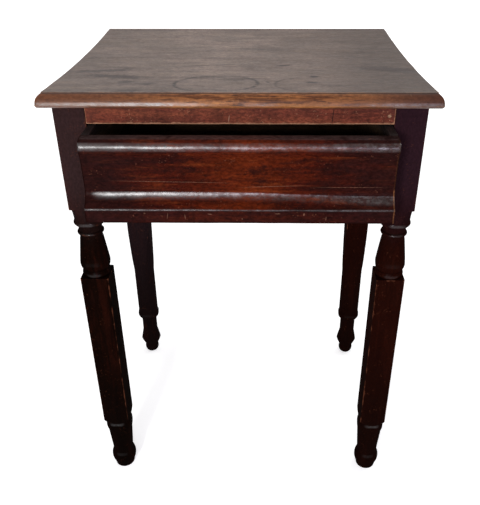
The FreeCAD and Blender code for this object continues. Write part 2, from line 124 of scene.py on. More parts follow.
def mark_arrises(mesh):
    """Stores 'arris': how sharply the surface bends out (towards 1) or in (towards 0)."""
    co, normal = coordinates(mesh), coordinates(mesh, "normal")
    pair = np.zeros(len(mesh.edges) * 2, int)
    mesh.edges.foreach_get("vertices", pair)
    a, b = pair.reshape(-1, 2).T
    way = co[b] - co[a]
    length = np.maximum((way ** 2).sum(1), 1e-12)
    bend = np.zeros(len(co))
    count = np.zeros(len(co))
    for here, sign in ((a, -1.0), (b, 1.0)):
        np.add.at(bend, here, sign * 2 * (way * normal[here]).sum(1) / length)
        np.add.at(count, here, 1)
    value = np.clip(bend / np.maximum(count, 1) * ARRIS_REACH, -1, 1)
    for _ in range(2):
        spread = value.copy()
        np.add.at(spread, a, value[b])
        np.add.at(spread, b, value[a])
        value = spread / (count + 1)
    value = 0.5 + 0.5 * np.clip(value * ARRIS_GAIN, -1, 1)
    store(mesh, "arris", value)
    return value.min(), value.max()


def finish_piece(made, body, node, material):
    """Smooth shading with crisp arrises, the wood, and the body and node it stands for."""
    mesh = made.data
    mesh.materials.clear()
    mesh.materials.append(material)
    mesh.polygons.foreach_set("use_smooth", [True] * len(mesh.polygons))
    mesh.set_sharp_from_angle(angle=SHARP_ANGLE)
    low, high = mark_arrises(mesh)
    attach(made, body)
    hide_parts(node)
    print(f"{made.name}: {len(mesh.polygons)} faces, arris {low:.2f} to {high:.2f}")
    return made


print("an arris counts within", round(ARRIS_REACH / mm, 1), "mm")

# %% [markdown]
# Smooth random waves give a hand-planed board its slight unevenness. They are sums of a few sine
# waves with a fixed seed, so the board is the same every time the script runs.

# %% Unevenness of hand work
WAVE_COUNT = 5


def waves(points, seed, wavelength):
    """One number from about -1 to 1 for each point, changing over the wavelength."""
    draw = np.random.default_rng(seed)
    total = np.zeros(len(points))
    for _ in range(WAVE_COUNT):
        direction = draw.normal(size=3)
        direction /= np.linalg.norm(direction)
        turn = 2 * math.pi / (wavelength * draw.uniform(0.7, 1.8))
        total += np.sin(points @ direction * turn + draw.uniform(0, 2 * math.pi))
    return total / math.sqrt(WAVE_COUNT) / 1.4


print("waves at three places:", waves(np.eye(3), 1, 0.5).round(2))

# %% [markdown]
# The looks, the turned shapes and the world are all made with nodes. Written out, each node takes
# several lines, so one small class adds a node, sets it, fills its inputs and gives its outputs in
# a single call. The same class serves every tree below.

# %% Small helpers for node trees
class Nodes:
    """A node tree under construction, with short names for what every tree needs."""

    def __init__(self, tree):
        self.tree = tree

    def put(self, socket, value):
        """Links a socket to another one, or sets its plain value."""
        if isinstance(value, bpy.types.NodeSocket):
            self.tree.links.new(value, socket)
        else:
            socket.default_value = value

    def node(self, kind, inputs, **settings):
        """Adds a node, sets it, fills its inputs and gives back its outputs."""
        made = self.tree.nodes.new(kind)
        for key, value in settings.items():
            setattr(made, key, value)
        for key, value in inputs.items():
            self.put(made.inputs[key], value)
        return made.outputs

    def calc(self, kind, a, b=0.0, c=0.0):
        return self.node("ShaderNodeMath", {0: a, 1: b, 2: c}, operation=kind)["Value"]

    def times(self, a, b):
        return self.calc("MULTIPLY", a, b)

    def plus(self, a, b):
        return self.calc("ADD", a, b)

    def minus(self, a, b):
        return self.calc("SUBTRACT", a, b)

    def parts(self, vector):
        return self.node("ShaderNodeSeparateXYZ", {"Vector": vector})


def linear(red, green, blue):
    """A colour written as a screen shows it, 0 to 255, as the linear light that Blender wants."""
    def one(value):
        value /= 255
        return value / 12.92 if value <= 0.04045 else ((value + 0.055) / 1.055) ** 2.4
    return (one(red), one(green), one(blue), 1.0)


def darker(colour, share):
    return tuple(v * share for v in colour[:3]) + (1.0,)


print("mid grey is", round(linear(128, 128, 128)[0], 3), "in linear light")

# %% [markdown]
# A material needs noise, ranges of values and small stains at known places. Every pattern lies on
# Object coordinates, which are metres on the piece itself: it needs no unwrapped image, and the
# figure of the drawer slides with the drawer. A stain is an oval that reaches endlessly deep into
# the wood, so only its place on the face matters.

# %% Nodes of one material
ENDLESS = 1000.0


class Recipe(Nodes):
    """The node tree of one material. Patterns lie on Object coordinates, so they never slide."""

    def __init__(self, name):
        self.material = bpy.data.materials.new(name)
        self.material.use_nodes = True
        super().__init__(self.material.node_tree)
        self.place = self.node("ShaderNodeTexCoord", {})["Object"]

    def surface(self, inputs):
        """Feeds the shader's own sockets."""
        shader = self.tree.nodes["Principled BSDF"]
        for key, value in inputs.items():
            self.put(shader.inputs[key], value)

    def noise(self, scale, detail, rough, stretch=(1, 1, 1), shift=(0, 0, 0), distortion=0.0):
        """Noise that is finer, and so shorter, along an axis with a larger stretch."""
        where = self.node("ShaderNodeMapping", {
            "Vector": self.place, "Location": shift, "Scale": stretch})["Vector"]
        return self.node("ShaderNodeTexNoise", {
            "Vector": where, "Scale": scale, "Detail": detail, "Roughness": rough,
            "Distortion": distortion})["Fac"]

    def ranged(self, value, low, high, to_low=0.0, to_high=1.0):
        """Carries a value smoothly from one range into another, and stops at its ends."""
        return self.node("ShaderNodeMapRange", {
            "Value": value, "From Min": low, "From Max": high, "To Min": to_low,
            "To Max": to_high}, interpolation_type="SMOOTHSTEP")["Result"]

    def apart(self, a, b):
        return self.calc("ABSOLUTE", self.minus(a, b))

    def ragged(self, value, pattern, amount):
        """A value with noise added, so what is drawn from it has an uneven edge."""
        return self.plus(value, self.times(self.minus(pattern, 0.5), amount))

    def blend(self, amount, under, over):
        return self.node("ShaderNodeMix", {"Factor": amount, 6: under, 7: over},
                         data_type="RGBA")[2]

    def laid(self, under, over, value, none_at, full_at, strength=1.0):
        """Lays a colour over another: nothing at one value, its full strength at the other."""
        return self.blend(self.ranged(value, none_at, full_at, 0.0, strength), under, over)

    def scaled(self, colour, factor):
        return self.node("ShaderNodeVectorMath", {0: colour, "Scale": factor},
                         operation="SCALE")["Vector"]

    def attribute(self, name):
        return self.node("ShaderNodeAttribute", {}, attribute_name=name)["Fac"]

    def along(self, axis):
        return self.parts(self.place)[axis.upper()]

    def oval(self, x, other, half, wide, turn=0.0, on_front=False):
        """How far out a point is from a stain's middle, in millimetres on the top or the front:
        1 on an oval of these half lengths, whatever its depth in the wood."""
        across, about = (2, 1) if on_front else (1, 2)
        middle, size, turned = [x * mm, 0, 0], [half * mm, ENDLESS, ENDLESS], [0, 0, 0]
        middle[across], size[across], turned[about] = other * mm, wide * mm, math.radians(turn)
        where = self.node("ShaderNodeMapping", {
            "Vector": self.place, "Location": middle, "Rotation": turned, "Scale": size},
            vector_type="TEXTURE")["Vector"]
        return self.node("ShaderNodeVectorMath", {0: where}, operation="LENGTH")["Value"]

    def bump(self, height, strength, distance, over=None):
        inputs = {"Height": height, "Strength": strength, "Distance": distance}
        if over is not None:
            inputs["Normal"] = over
        return self.node("ShaderNodeBump", inputs)["Normal"]


print("Recipe:", len([name for name in vars(Recipe) if not name.startswith("_")]), "short names")

# %% [markdown]
# Old varnished wood, as one recipe that every wooden piece shares. On the real table it is layers:
# the wood's figure in long streaks along the grain, fine dark pores, a varnish that has gone dark
# in patches, pale wood where the arrises are worn through, and dirt in the corners. The corners
# are also darkened for the shade in them, which is painted shade.
# It could be painted by hand, but noise that is stretched along the grain gives the same streaks
# without an image and at any size. The nodes are kept in the order of those layers. Each piece
# then has its own colours, grain direction and gloss. The varnish is still glossy only where it
# is thick, on noses and beads, so its coat follows an attribute that the piece stores, "gleam",
# and it is broken up where the varnish has crazed.

# %% The wood's figure and its varnish
GRAIN = {"x": (1, 10, 10), "y": (10, 1, 10), "z": (10, 10, 1)}
PORE_STRETCH = 30
COAT_IOR = 1.7


def figured(r, grain, tones, seed, figure):
    """The wood's own colour: three tones in streaks along the grain."""
    stretch, shift = GRAIN[grain], (seed, seed * 1.7, seed * 0.6)
    broad = r.noise(figure, 3.0, 0.5, stretch, shift, 0.5)
    streak = r.noise(figure * 6, 5.0, 0.6, stretch, shift, 0.3)
    tone = r.plus(r.times(broad, 0.65), r.times(streak, 0.35))
    deep, body, light = tones
    colour = r.laid(deep, body, tone, 0.36, 0.50)
    return r.laid(colour, light, tone, 0.50, 0.66), streak


def varnish_coat(r, rubbing, speck, seed, weight, rough=0.3, dull=0.0, crazed=0.0):
    """Thick varnish that still shines where the piece says, rubbed away and crazed in spots."""
    left = r.ranged(r.plus(rubbing, speck), 0.8, 1.2, weight, weight * 0.5)
    if crazed:
        craze = r.noise(110.0, 6.0, 0.8, (1, 1, 1.8), (seed, 0, 0))
        broken = r.times(r.ranged(craze, 0.43, 0.58, 1.0, 0.0),
                         r.ranged(r.along("x"), -0.16, 0.06, 0.2 * crazed, crazed))
        left = r.times(left, r.minus(1.0, broken))
    gleam = r.ranged(r.attribute("gleam"), 0.0, 1.0, dull, 1.0)
    r.surface({"Coat Weight": r.times(gleam, left), "Coat Roughness": rough, "Coat IOR": COAT_IOR})


print("grain along", ", ".join(GRAIN))

# %% The wood recipe
def old_wood(name, grain, tones, worn, seed, figure=5.0, gloss=0.5, level=0.1, wear=0.5,
             dirt=0.6, pores=0.5, mottle=0.35, flecks=0.0, has_arris=True, coat=None, extra=None):
    """Varnished wood with its grain along an axis, from three tones of its figure."""
    r = Recipe(name)
    tones, worn = [linear(*tone) for tone in tones], linear(*worn)
    deep = tones[0]
    colour, streak = figured(r, grain, tones, seed, figure)
    r.fine = r.noise(6.0, 3.0, 0.7, tuple(v * PORE_STRETCH for v in GRAIN[grain]))
    colour = r.laid(colour, darker(deep, 0.45), r.fine, 0.46, 0.36, pores)
    cloud = r.noise(9.0, 3.0, 0.55, shift=(seed, 0, seed))
    colour = r.laid(colour, darker(deep, 0.6), cloud, 0.5, 0.72, dirt)
    if extra:
        colour = extra(r, colour)
    across = tuple(1.0 if v == 1 else 1.8 for v in GRAIN[grain])
    speck = r.noise(190.0, 4.0, 0.65, across, (0, 0, seed))
    colour = r.scaled(colour, r.ranged(speck, 0.32, 0.68, 1 - mottle, 1 + mottle))
    rubbing = r.noise(60.0, 4.0, 0.6, shift=(0, seed, 0))
    if flecks:
        nick = r.noise(420.0, 2.0, 0.5, shift=(seed, seed, 0))
        here = r.times(r.ranged(nick, 0.62, 0.7), r.ranged(rubbing, 0.5, 0.64))
        colour = r.blend(r.times(here, flecks), colour, worn)
    if has_arris:
        arris = r.attribute("arris")
        colour = r.laid(colour, worn, r.ragged(arris, rubbing, 0.9), 0.68, 0.95, wear)
        # Darker in quirks and hollows: painted shade, together with the dirt that sits there.
        colour = r.laid(colour, darker(deep, 0.4), arris, 0.48, 0.25, 0.75)
    if coat:
        varnish_coat(r, rubbing, speck, seed, **coat)
    pored = r.bump(r.fine, 0.25, 0.12 * mm)
    r.surface({
        "Base Color": colour, "Specular IOR Level": level,
        "Roughness": r.ranged(streak, 0.3, 0.7, gloss * 0.85, gloss * 1.2),
        "Normal": r.bump(streak, 0.25, 0.4 * mm, pored)})
    return r.material


print("layers: figure, pores, clouds, marks, specks, flecks, arrises, varnish")

# %% [markdown]
# Some marks belong to one piece alone. The top has rings left by wet cups, scratches and scuffs,
# and it is grey while the moulding stays warm brown: partly the old varnish, and partly a painted
# grey sheen of the light above, laid into its colour. The rings and the scratches are laid last, or
# the scuffs would hide them, and noise breaks each of them up, as no old stain is even. The places
# and sizes in the tables are in millimetres, and the turns are in degrees.

# %% Marks on the top
STAIN = linear(46, 36, 36)
# x, y, radius, strength, and the way to the side where the ring is darkest
RINGS = [(-19, -137, 43, 1.0, 1, -0.4), (86, -143, 38, 0.7, -1, 0.1), (-47, -141, 44, 1.0, -1, 0.5)]
# x, y, half length, half width, turn, strength
SCRATCHES = [
    (65, -22, 16, 5.5, 18, 1.3), (-48, -22, 52, 3.6, 10, 0.8), (118, -55, 14, 3.2, 0, 0.8),
    (104.7, -95.6, 8, 7.0, 0, 1.3), (101.7, -131.4, 12, 5.5, -8, 1.3),
    (38.4, -131.8, 3, 8, 20, 1.0), (-150, -183, 24, 9, 6, 0.9), (-212, -60, 60, 12, 10, 0.9),
    (-182, -96, 50, 14, -8, 1.0), (218, -48, 66, 20, -20, 0.8), (-30, -98, 80, 5, 3, 0.6),
    (-6, -112, 40, 8, 4, 0.7), (-90, -60, 46, 5, 0, 0.5), (150, -150, 50, 8, 3, 0.5),
    (-160, -128, 14, 10, 0, 0.9), (-128, -140, 12, 8, 30, 0.8), (30, 90, 60, 9, -4, 0.4),
    (-140, 60, 70, 10, 6, 0.4), (170, 40, 50, 8, 0, 0.4)]


def ring_mark(r, patch, x, y, radius, strength, toward_x, toward_y):
    """How dark a cup's ring is: a thin broken line that fades out on one side."""
    line = r.ranged(r.apart(r.oval(x, y, radius, radius), 1.0), 0.015, 0.11, 0.9, 0.0)
    side = r.plus(r.times(r.along("x"), toward_x / (radius * mm)),
                  r.times(r.along("y"), toward_y / (radius * mm)))
    middle = (x * toward_x + y * toward_y) / radius
    fades = r.ranged(r.minus(side, middle), -0.6, 0.5, 0.12, 1.0)
    broken = r.ranged(patch, 0.36, 0.56, 0.25, 1.0)
    return r.times(r.times(line, broken), r.times(fades, strength))


def moulding_colour(r):
    """The warm brown of the moulded edge, redder towards the ends and dark at the right."""
    tones = [linear(78, 44, 25), linear(126, 79, 44), linear(148, 98, 54)]
    warm, grain = figured(r, "x", tones, 2.1, 9.0)
    warm = r.laid(warm, linear(50, 27, 17), grain, 0.44, 0.36, 0.75)
    warm = r.laid(warm, linear(76, 45, 32), r.apart(r.along("x"), 0.02), 0.05, 0.21, 0.85)
    return r.laid(warm, linear(52, 27, 20), r.along("x"), 0.17, 0.26, 0.7)


def top_marks(r, colour):
    scuff = r.noise(34.0, 8.0, 0.8, (1, 2, 1), (7, 0, 0))
    small = r.noise(110.0, 6.0, 0.75, (1, 2, 1), (0, 9, 0))
    colour = r.laid(colour, linear(72, 58, 56), scuff, 0.52, 0.66, 0.7)
    colour = r.laid(colour, linear(140, 124, 112), scuff, 0.48, 0.34, 0.5)
    colour = r.laid(colour, linear(66, 52, 50), small, 0.54, 0.66, 0.5)
    colour = r.laid(colour, linear(146, 132, 120), small, 0.44, 0.34, 0.35)
    patchy = r.noise(12.0, 4.0, 0.6, (1, 1.6, 1), (4, 2, 0))
    colour = r.scaled(colour, r.ranged(patchy, 0.3, 0.7, 0.84, 1.24))
    colour = r.laid(colour, linear(70, 55, 47), r.along("x"), -0.05, 0.25, 0.65)
    from_middle = r.apart(r.along("x"), 0.0)
    colour = r.scaled(colour, r.ranged(from_middle, 0.1, 0.25, 1.05, 0.8))
    patch = r.noise(90.0, 4.0, 0.65, shift=(3, 5, 0))
    for ring in RINGS:
        colour = r.blend(ring_mark(r, patch, *ring), colour, STAIN)
    for *place, strength in SCRATCHES:
        edge = r.ragged(r.oval(*place), patch, 1.8)
        colour = r.laid(colour, STAIN, edge, 1.1, 0.45, strength * 0.75)
    return r.blend(r.attribute("edge"), colour, moulding_colour(r))


print(len(RINGS), "rings and", len(SCRATCHES), "scratches")

# %% [markdown]
# The drawer front has an amber middle, dark streaks and dark ends, a pale worn spot at its right
# end, and small nicks and scratches. Its back is bare and dusty, and its top edge is grey with a
# painted reflection of the light above. The small marks are ovals again, listed by their place on
# the front, so one loop lays them all.

# %% Marks on the drawer front
# x, height, half length, half height, turn
NOSE_NICKS = [(x, z, 2.4, 3.0, 0) for x, z in ((-157, 674), (-142, 672), (-122, 673), (-96, 675))]
DRAWER_SCRATCHES = [
    (-91, 623.5, 92, 0.45, 1), (45, 617, 52, 0.5, -2), (150, 616, 54, 0.4, 0),
    (-98, 580, 0.7, 5.5, 8), (-74, 579, 0.7, 4.5, -6), (-129, 584, 1.6, 1.2, 0),
    (-40, 583, 3.5, 0.8, 3), (52, 584, 4.5, 0.8, 0), (88, 583, 1.4, 2.4, 12),
    (118, 577, 0.7, 3.5, 5), (4, 576, 1.3, 1.3, 0)]


def spotted(r, colour, marks, shade, strength, full_at=0.5):
    """Lays small ovals of one shade on the front."""
    for mark in marks:
        out = r.oval(*mark, on_front=True)
        colour = r.laid(colour, linear(*shade), out, 1.1, full_at, strength)
    return colour


def drawer_marks(r, colour):
    wavy = r.noise(9.0, 5.0, 0.7, (1, 1, 8), (2, 0, 0))
    reach = r.ragged(r.apart(r.along("x"), 0.006), wavy, 0.22)
    streaky = r.noise(26.0, 5.0, 0.65, (0.5, 1, 5), (8, 0, 3))
    blot = r.noise(28.0, 5.0, 0.7, (1, 1, 2), (5, 0, 1))
    colour = r.laid(colour, linear(92, 34, 11), reach, 0.12, -0.03, 0.55)
    colour = r.laid(colour, linear(32, 13, 10), streaky, 0.5, 0.66, 0.6)
    colour = r.laid(colour, linear(104, 46, 20), streaky, 0.48, 0.34, 0.4)
    colour = r.laid(colour, linear(30, 13, 12), reach, 0.07, 0.2, 0.85)
    colour = r.laid(colour, linear(30, 12, 12), r.along("z"), 0.589, 0.5885, 0.65)
    worn_spot = r.times(r.ranged(r.along("x"), 0.2085, 0.2098, 0.0, 0.8),
                        r.ranged(r.along("z"), 0.614, 0.610, 0.15, 1.0))
    colour = r.blend(worn_spot, colour, linear(158, 104, 68))
    colour = r.laid(colour, linear(78, 58, 42), r.along("y"), -0.2112, -0.2107, 0.95)
    # The top edge and the top of the nose: a painted grey reflection of the light above.
    colour = r.laid(colour, linear(60, 48, 47), r.along("z"), 0.6815, 0.6825, 0.65)
    colour = spotted(r, colour, NOSE_NICKS, (22, 12, 12), 0.9)
    colour = r.laid(colour, linear(26, 10, 9), blot, 0.5, 0.66, 0.75)
    return spotted(r, colour, DRAWER_SCRATCHES, (128, 92, 74), 0.4)


print(len(NOSE_NICKS), "nicks and", len(DRAWER_SCRATCHES), "scratches on the drawer")

# %% [markdown]
# The rail has a crack, a scratch and a pale plug, and its lower arris is rubbed pale by the drawer
# and by fingers. The legs are darker towards the floor, and higher up they get a painted
# purple-grey sheen, a reflection laid into the colour. The drawer's sides get painted shade where
# they run in under the rail and the top.

# %% Marks on the rail, tones and painted sheen on the legs, painted shade on the drawer's sides
RAIL_CRACK = (127, 697, 0.8, 13, 4)
RAIL_SCRATCH = (-15, 693, 0.7, 6, 8)
RAIL_PLUG = (204, 696.8, 2.6, 2.2, 0)


def rail_marks(r, colour):
    patchy = r.noise(26.0, 5.0, 0.65, shift=(6, 0, 2))
    colour = r.scaled(colour, r.ranged(patchy, 0.34, 0.66, 0.6, 1.28))
    colour = spotted(r, colour, [RAIL_CRACK], (28, 14, 12), 0.9, 0.6)
    colour = spotted(r, colour, [RAIL_SCRATCH], (150, 118, 96), 0.7)
    colour = spotted(r, colour, [RAIL_PLUG], (148, 118, 92), 0.75, 0.8)
    chipped = r.noise(70.0, 4.0, 0.7, (1, 1, 2))
    rubbed = r.plus(r.along("z"), r.times(chipped, 6 * mm))
    return r.laid(colour, linear(146, 106, 80), rubbed, 0.6906, 0.6894, 0.8)


def legs_darker_low_with_painted_sheen(r, colour):
    colour = r.laid(colour, linear(42, 11, 6), r.along("x"), 0.0, 0.2, 0.3)
    height = r.plus(r.along("z"), r.times(r.fine, 0.08))
    # Darker towards the floor.
    colour = r.laid(colour, linear(8, 4, 3), height, 0.42, 0.06, 0.62)
    # A painted purple-grey sheen on the rear left leg, higher up: a reflection laid into the
    # colour.
    rear_left = r.times(r.ranged(r.along("x"), -0.2, 0.1, 0.55, 0.0),
                        r.ranged(r.along("y"), 0.0, 0.15))
    painted_rear_sheen = r.times(rear_left, r.ranged(height, 0.1, 0.45, 0.2, 0.9))
    colour = r.blend(painted_rear_sheen, colour, linear(38, 27, 30))
    # A painted purple-grey sheen on the posts: a reflection laid into the colour.
    painted_post_sheen = r.laid(linear(62, 44, 44), linear(44, 29, 38), r.along("x"), -0.1, 0.1)
    return r.laid(colour, painted_post_sheen, height, 0.52, 0.66, 0.45)


def shade_under_rail(r, colour):
    # Painted shade on the drawer's sides where they run in under the rail and the top.
    painted_shade = r.times(r.ranged(r.along("y"), -0.17, 0.05, 0.9, 0.0),
                    r.ranged(r.along("z"), 0.655, 0.675, 0.3, 1.0))
    return r.blend(painted_shade, colour, linear(20, 15, 18))


print("the rail's plug is", 2 * RAIL_PLUG[2], "mm long")

# %% [markdown]
# Each wood is now the one recipe with its own figures. The colours are the deep, the middle and the
# light tone of the figure, and the pale one of worn spots. The woods inside the frame are bare.

# %% The woods
APRON_TONES = ((34, 19, 17), (50, 30, 26), (64, 39, 32))
APRON_WORN = (110, 74, 52)
BARE = dict(tones=((54, 39, 28), (82, 62, 45), (104, 80, 58)), worn=(128, 100, 76), gloss=0.7,
            level=0.15, has_arris=False)

# The top's grey-brown tones hold a painted grey sheen of the light above, over the wood's own
# brown.
top_wood = old_wood("top_board_wood", "x", ((90, 76, 70), (108, 93, 85), (120, 104, 93)),
                    (134, 96, 66), seed=1.3, figure=8.0, gloss=0.46, level=0.12, dirt=0.25,
                    mottle=0.22, flecks=0.4, coat=dict(weight=1.0, crazed=0.5), extra=top_marks)
rail_wood = old_wood("front_rail_wood", "x", ((66, 28, 20), (94, 44, 30), (114, 58, 38)),
                     (156, 112, 84), seed=3.7, wear=0.7, dirt=0.35, pores=0.7, flecks=0.7,
                     extra=rail_marks)
drawer_wood = old_wood("drawer_front_wood", "x", ((31, 9, 6), (53, 15, 8), (76, 25, 10)),
                       (128, 80, 60), seed=5.2, figure=4.0, gloss=0.42, level=0.0, wear=0.4,
                       dirt=0.4, pores=0.7, flecks=0.35, extra=drawer_marks,
                       coat=dict(weight=1.0, rough=0.33, dull=0.02, crazed=0.6))
apron_wood = old_wood("apron_wood", "y", APRON_TONES, APRON_WORN, seed=6.1, has_arris=False)
back_wood = old_wood("back_apron_wood", "x", APRON_TONES, APRON_WORN, seed=6.9, has_arris=False)
leg_wood = old_wood("dark_leg_wood", "z", ((5, 2, 1), (13, 4, 2), (28, 8, 4)), (104, 60, 42),
                    seed=8.4, wear=0.65, level=0.0, dirt=0.5, mottle=0.2, flecks=0.3,
                    coat=dict(weight=0.9, dull=0.01), extra=legs_darker_low_with_painted_sheen)
plain_wood_x = old_wood("secondary_wood_across", "x", seed=9.1, **BARE)
plain_wood_y = old_wood("secondary_wood_lengthwise", "y", seed=9.9, extra=shade_under_rail, **BARE)
print(len(bpy.data.materials), "materials")

# %% [markdown]
# The iron of the old screws and nails is dark, dull and rusty in patches. One noise drives its
# colour, its roughness and its pits, so a rusty patch is brown, dull and rough in the same place.

# %% Iron
def old_iron():
    r = Recipe("rusty_iron")
    patch = r.noise(300.0, 4.0, 0.6)
    r.surface({
        "Base Color": r.laid(linear(52, 48, 46), linear(92, 52, 32), patch, 0.4, 0.6),
        "Roughness": r.ranged(patch, 0.4, 0.6, 0.45, 0.85), "Metallic": 0.8,
        "Normal": r.bump(patch, 0.4, 0.2 * mm)})
    return r.material


iron = old_iron()
print(iron.name)

# %% [markdown]
# The top is one wide plank. Its front edge and both ends have the same moulding: a flat ovolo
# that runs down to a small rounded nose. The back is left square, against the wall. The moulding
# is first drawn as one line of points, from arcs and short flats, as a plane's iron is ground.

# %% The plank's moulding
edge_width = 9 * mm
nose_radius = 4
quirk_bottom = (9, 18.8)
ovolo_foot = (0.4, 5)
ovolo_bulge = 2


def arc_points(start, middle, end, count):
    """Points on the circle through three points, the first left out."""
    (ax, ay), (bx, by), (cx, cy) = start, middle, end
    d = 2 * (ax * (by - cy) + bx * (cy - ay) + cx * (ay - by))
    a2, b2, c2 = ax**2 + ay**2, bx**2 + by**2, cx**2 + cy**2
    ux = (a2 * (by - cy) + b2 * (cy - ay) + c2 * (ay - by)) / d
    uy = (a2 * (cx - bx) + b2 * (ax - cx) + c2 * (bx - ax)) / d
    radius = math.hypot(ax - ux, ay - uy)
    first = math.atan2(ay - uy, ax - ux)

    def turn(x, y):
        return (math.atan2(y - uy, x - ux) - first) % (2 * math.pi)

    whole = turn(cx, cy)
    if turn(bx, by) > whole:
        whole -= 2 * math.pi
    return [(ux + radius * math.cos(first + whole * i / count),
             uy + radius * math.sin(first + whole * i / count)) for i in range(1, count + 1)]


def bowed(start, end, bulge):
    """The middle point of an arc that stands bulge to the right of the line from start to end."""
    run, rise = end[0] - start[0], end[1] - start[1]
    chord = math.hypot(run, rise)
    return ((start[0] + end[0]) / 2 + bulge * rise / chord,
            (start[1] + end[1]) / 2 - bulge * run / chord)


def edge_profile():
    """(inset, height) of the moulding from the top surface down to the underside."""
    on_nose = nose_radius * (1 - math.sqrt(0.5))
    profile = [(9, 20), (9, 19.6), (9, 19.2), quirk_bottom]
    fullest = bowed(quirk_bottom, ovolo_foot, ovolo_bulge)
    profile += arc_points(quirk_bottom, fullest, ovolo_foot, 14)
    profile += [(0.3, 4.6), (0.1, 4.3), (0, nose_radius)]
    profile += arc_points((0, nose_radius), (on_nose, on_nose), (nose_radius, 0), 8)
    profile += [(5, 0), (7, 0), (9, 0)]
    return [(inset * mm, z * mm) for inset, z in profile]


moulding = edge_profile()
print(len(moulding), "points in the moulding, widest inset", max(p[0] for p in moulding))

# %% [markdown]
# A profile pushed along a path would leave the two front corners to chance, so the mesh is laid
# ring by ring instead: each ring is one point of the moulding carried round three sides, with its
# corners mitred and a little rounded. The top and the underside are plain grids.

# %% Spacing and corners
corner_round = 3.5 * mm
sharpest_corner = 0.3 * mm


def stations(low, high, spacing, near):
    """Values from low to high, close together near the ends as the list near says."""
    inner = np.linspace(low + near[-1], high - near[-1], max(2, round((high - low) / spacing)))
    return np.concatenate([[low + v for v in near[:-1]], inner, [high - v for v in near[-2::-1]]])


def on_ring(x, y, inset):
    """Moves a point of the flat top out on to one ring of the moulding, round its corners."""
    x *= 1 + (edge_width - inset) / (top_half_width - edge_width)
    depth = top_back_y - top_front_y
    y = top_back_y - (top_back_y - y) * ((depth - inset) / (depth - edge_width))
    round_off = max(corner_round - inset, sharpest_corner)
    inner_x = top_half_width - inset - round_off
    inner_y = top_front_y + inset + round_off
    if abs(x) > inner_x and y < inner_y:
        dx, dy = abs(x) - inner_x, inner_y - y
        reach = max(dx, dy) / math.hypot(dx, dy)
        x = math.copysign(inner_x + dx * reach, x)
        y = inner_y - dy * reach
    return x, y


plank_spacing = 4 * mm
plank_near = [0, 1 * mm, 2.2 * mm, 4 * mm]
flat_half_width = top_half_width - edge_width
xs = stations(-flat_half_width, flat_half_width, plank_spacing, plank_near)
ys = stations(top_front_y + edge_width, top_back_y, plank_spacing, plank_near)
print(len(xs), "by", len(ys), "points on the flat of the plank")

# %% The plank's points and faces
back_edge_heights = [0.8 * mm, 7 * mm, 13 * mm, 19.2 * mm]


def plank_mesh(xs, ys):
    """The flat top and underside, the rings of the moulding between them, and the back edge."""
    nx, ny = len(xs), len(ys)
    points, faces = [], []

    def add(x, y, z):
        points.append((x, y, z))
        return len(points) - 1

    path = [(0, j) for j in range(ny - 1, -1, -1)] + [(i, 0) for i in range(1, nx)]
    path += [(nx - 1, j) for j in range(1, ny)]
    top = {(i, j): add(xs[i], ys[j], table_height) for i in range(nx) for j in range(ny)}
    under = {(i, j): add(xs[i], ys[j], frame_top) for i in range(nx) for j in range(ny)}
    for i in range(nx - 1):
        for j in range(ny - 1):
            faces.append([top[i, j], top[i + 1, j], top[i + 1, j + 1], top[i, j + 1]])
            faces.append([under[i, j], under[i, j + 1], under[i + 1, j + 1], under[i + 1, j]])
    rings = [[top[key] for key in path]]
    for inset, z in moulding[1:-1]:
        rings.append([add(*on_ring(xs[i], ys[j], inset), frame_top + z) for i, j in path])
    rings.append([under[key] for key in path])
    for upper, lower in zip(rings, rings[1:]):
        for k in range(len(path) - 1):
            faces.append([upper[k], lower[k], lower[k + 1], upper[k + 1]])
    columns = []
    for i in range(nx):
        between = [add(xs[i], top_back_y, frame_top + h) for h in back_edge_heights]
        columns.append([under[i, ny - 1]] + between + [top[i, ny - 1]])
    for here, there in zip(columns, columns[1:]):
        for k in range(len(here) - 1):
            faces.append([here[k], here[k + 1], there[k + 1], there[k]])
    faces.append([ring[0] for ring in rings] + columns[0][1:-1])
    faces.append([ring[-1] for ring in rings][::-1] + columns[-1][1:-1][::-1])
    return np.array(points), faces


plank_points, plank_faces = plank_mesh(xs, ys)
print(len(plank_points), "points and", len(plank_faces), "faces in the flat plank")

# %% [markdown]
# With age the plank has cupped across the grain, so everything sinks towards the middle of its
# depth, while the front and back edges stay put. A modifier could bend it, but the sum is short and
# leaves the edges exactly where the frame says. Two attributes tell the varnish where the moulding
# is and where its nose still shines.

# %% The plank's age
cup_depth = 6 * mm
arris_ease = 0.8 * mm
hand_wear = 0.25 * mm
moulded_below = 19.3 * mm
# from x, full at x, brightness
NOSE_GLEAMS = [(-0.01, -0.09, 0.88), (0.09, 0.13, 0.25), (0.15, 0.22, 0.63)]


def moulded(co):
    """Which points belong to the moulding, where the varnish is still warm."""
    hair = 0.01 * mm
    return ((np.abs(co[:, 0]) > top_half_width - edge_width + hair)
            | (co[:, 1] < top_front_y + edge_width - hair) | (co[:, 2] - frame_top < moulded_below))


def nose_gleam(co):
    """The shine on the moulding's nose, brightest at the left and in patches to the right."""
    x, height = co[:, 0], co[:, 2] - frame_top
    on_nose = step(height, 8.6 * mm, 5.8 * mm) * step(height, 0, 1.2 * mm)
    patches = 0.12 + 0.45 * step(np.abs(x - 0.026), 0.035, 0.01)
    for start, full, brightness in NOSE_GLEAMS:
        patches += brightness * step(x, start, full)
    return np.clip(on_nose * patches, 0, 1)


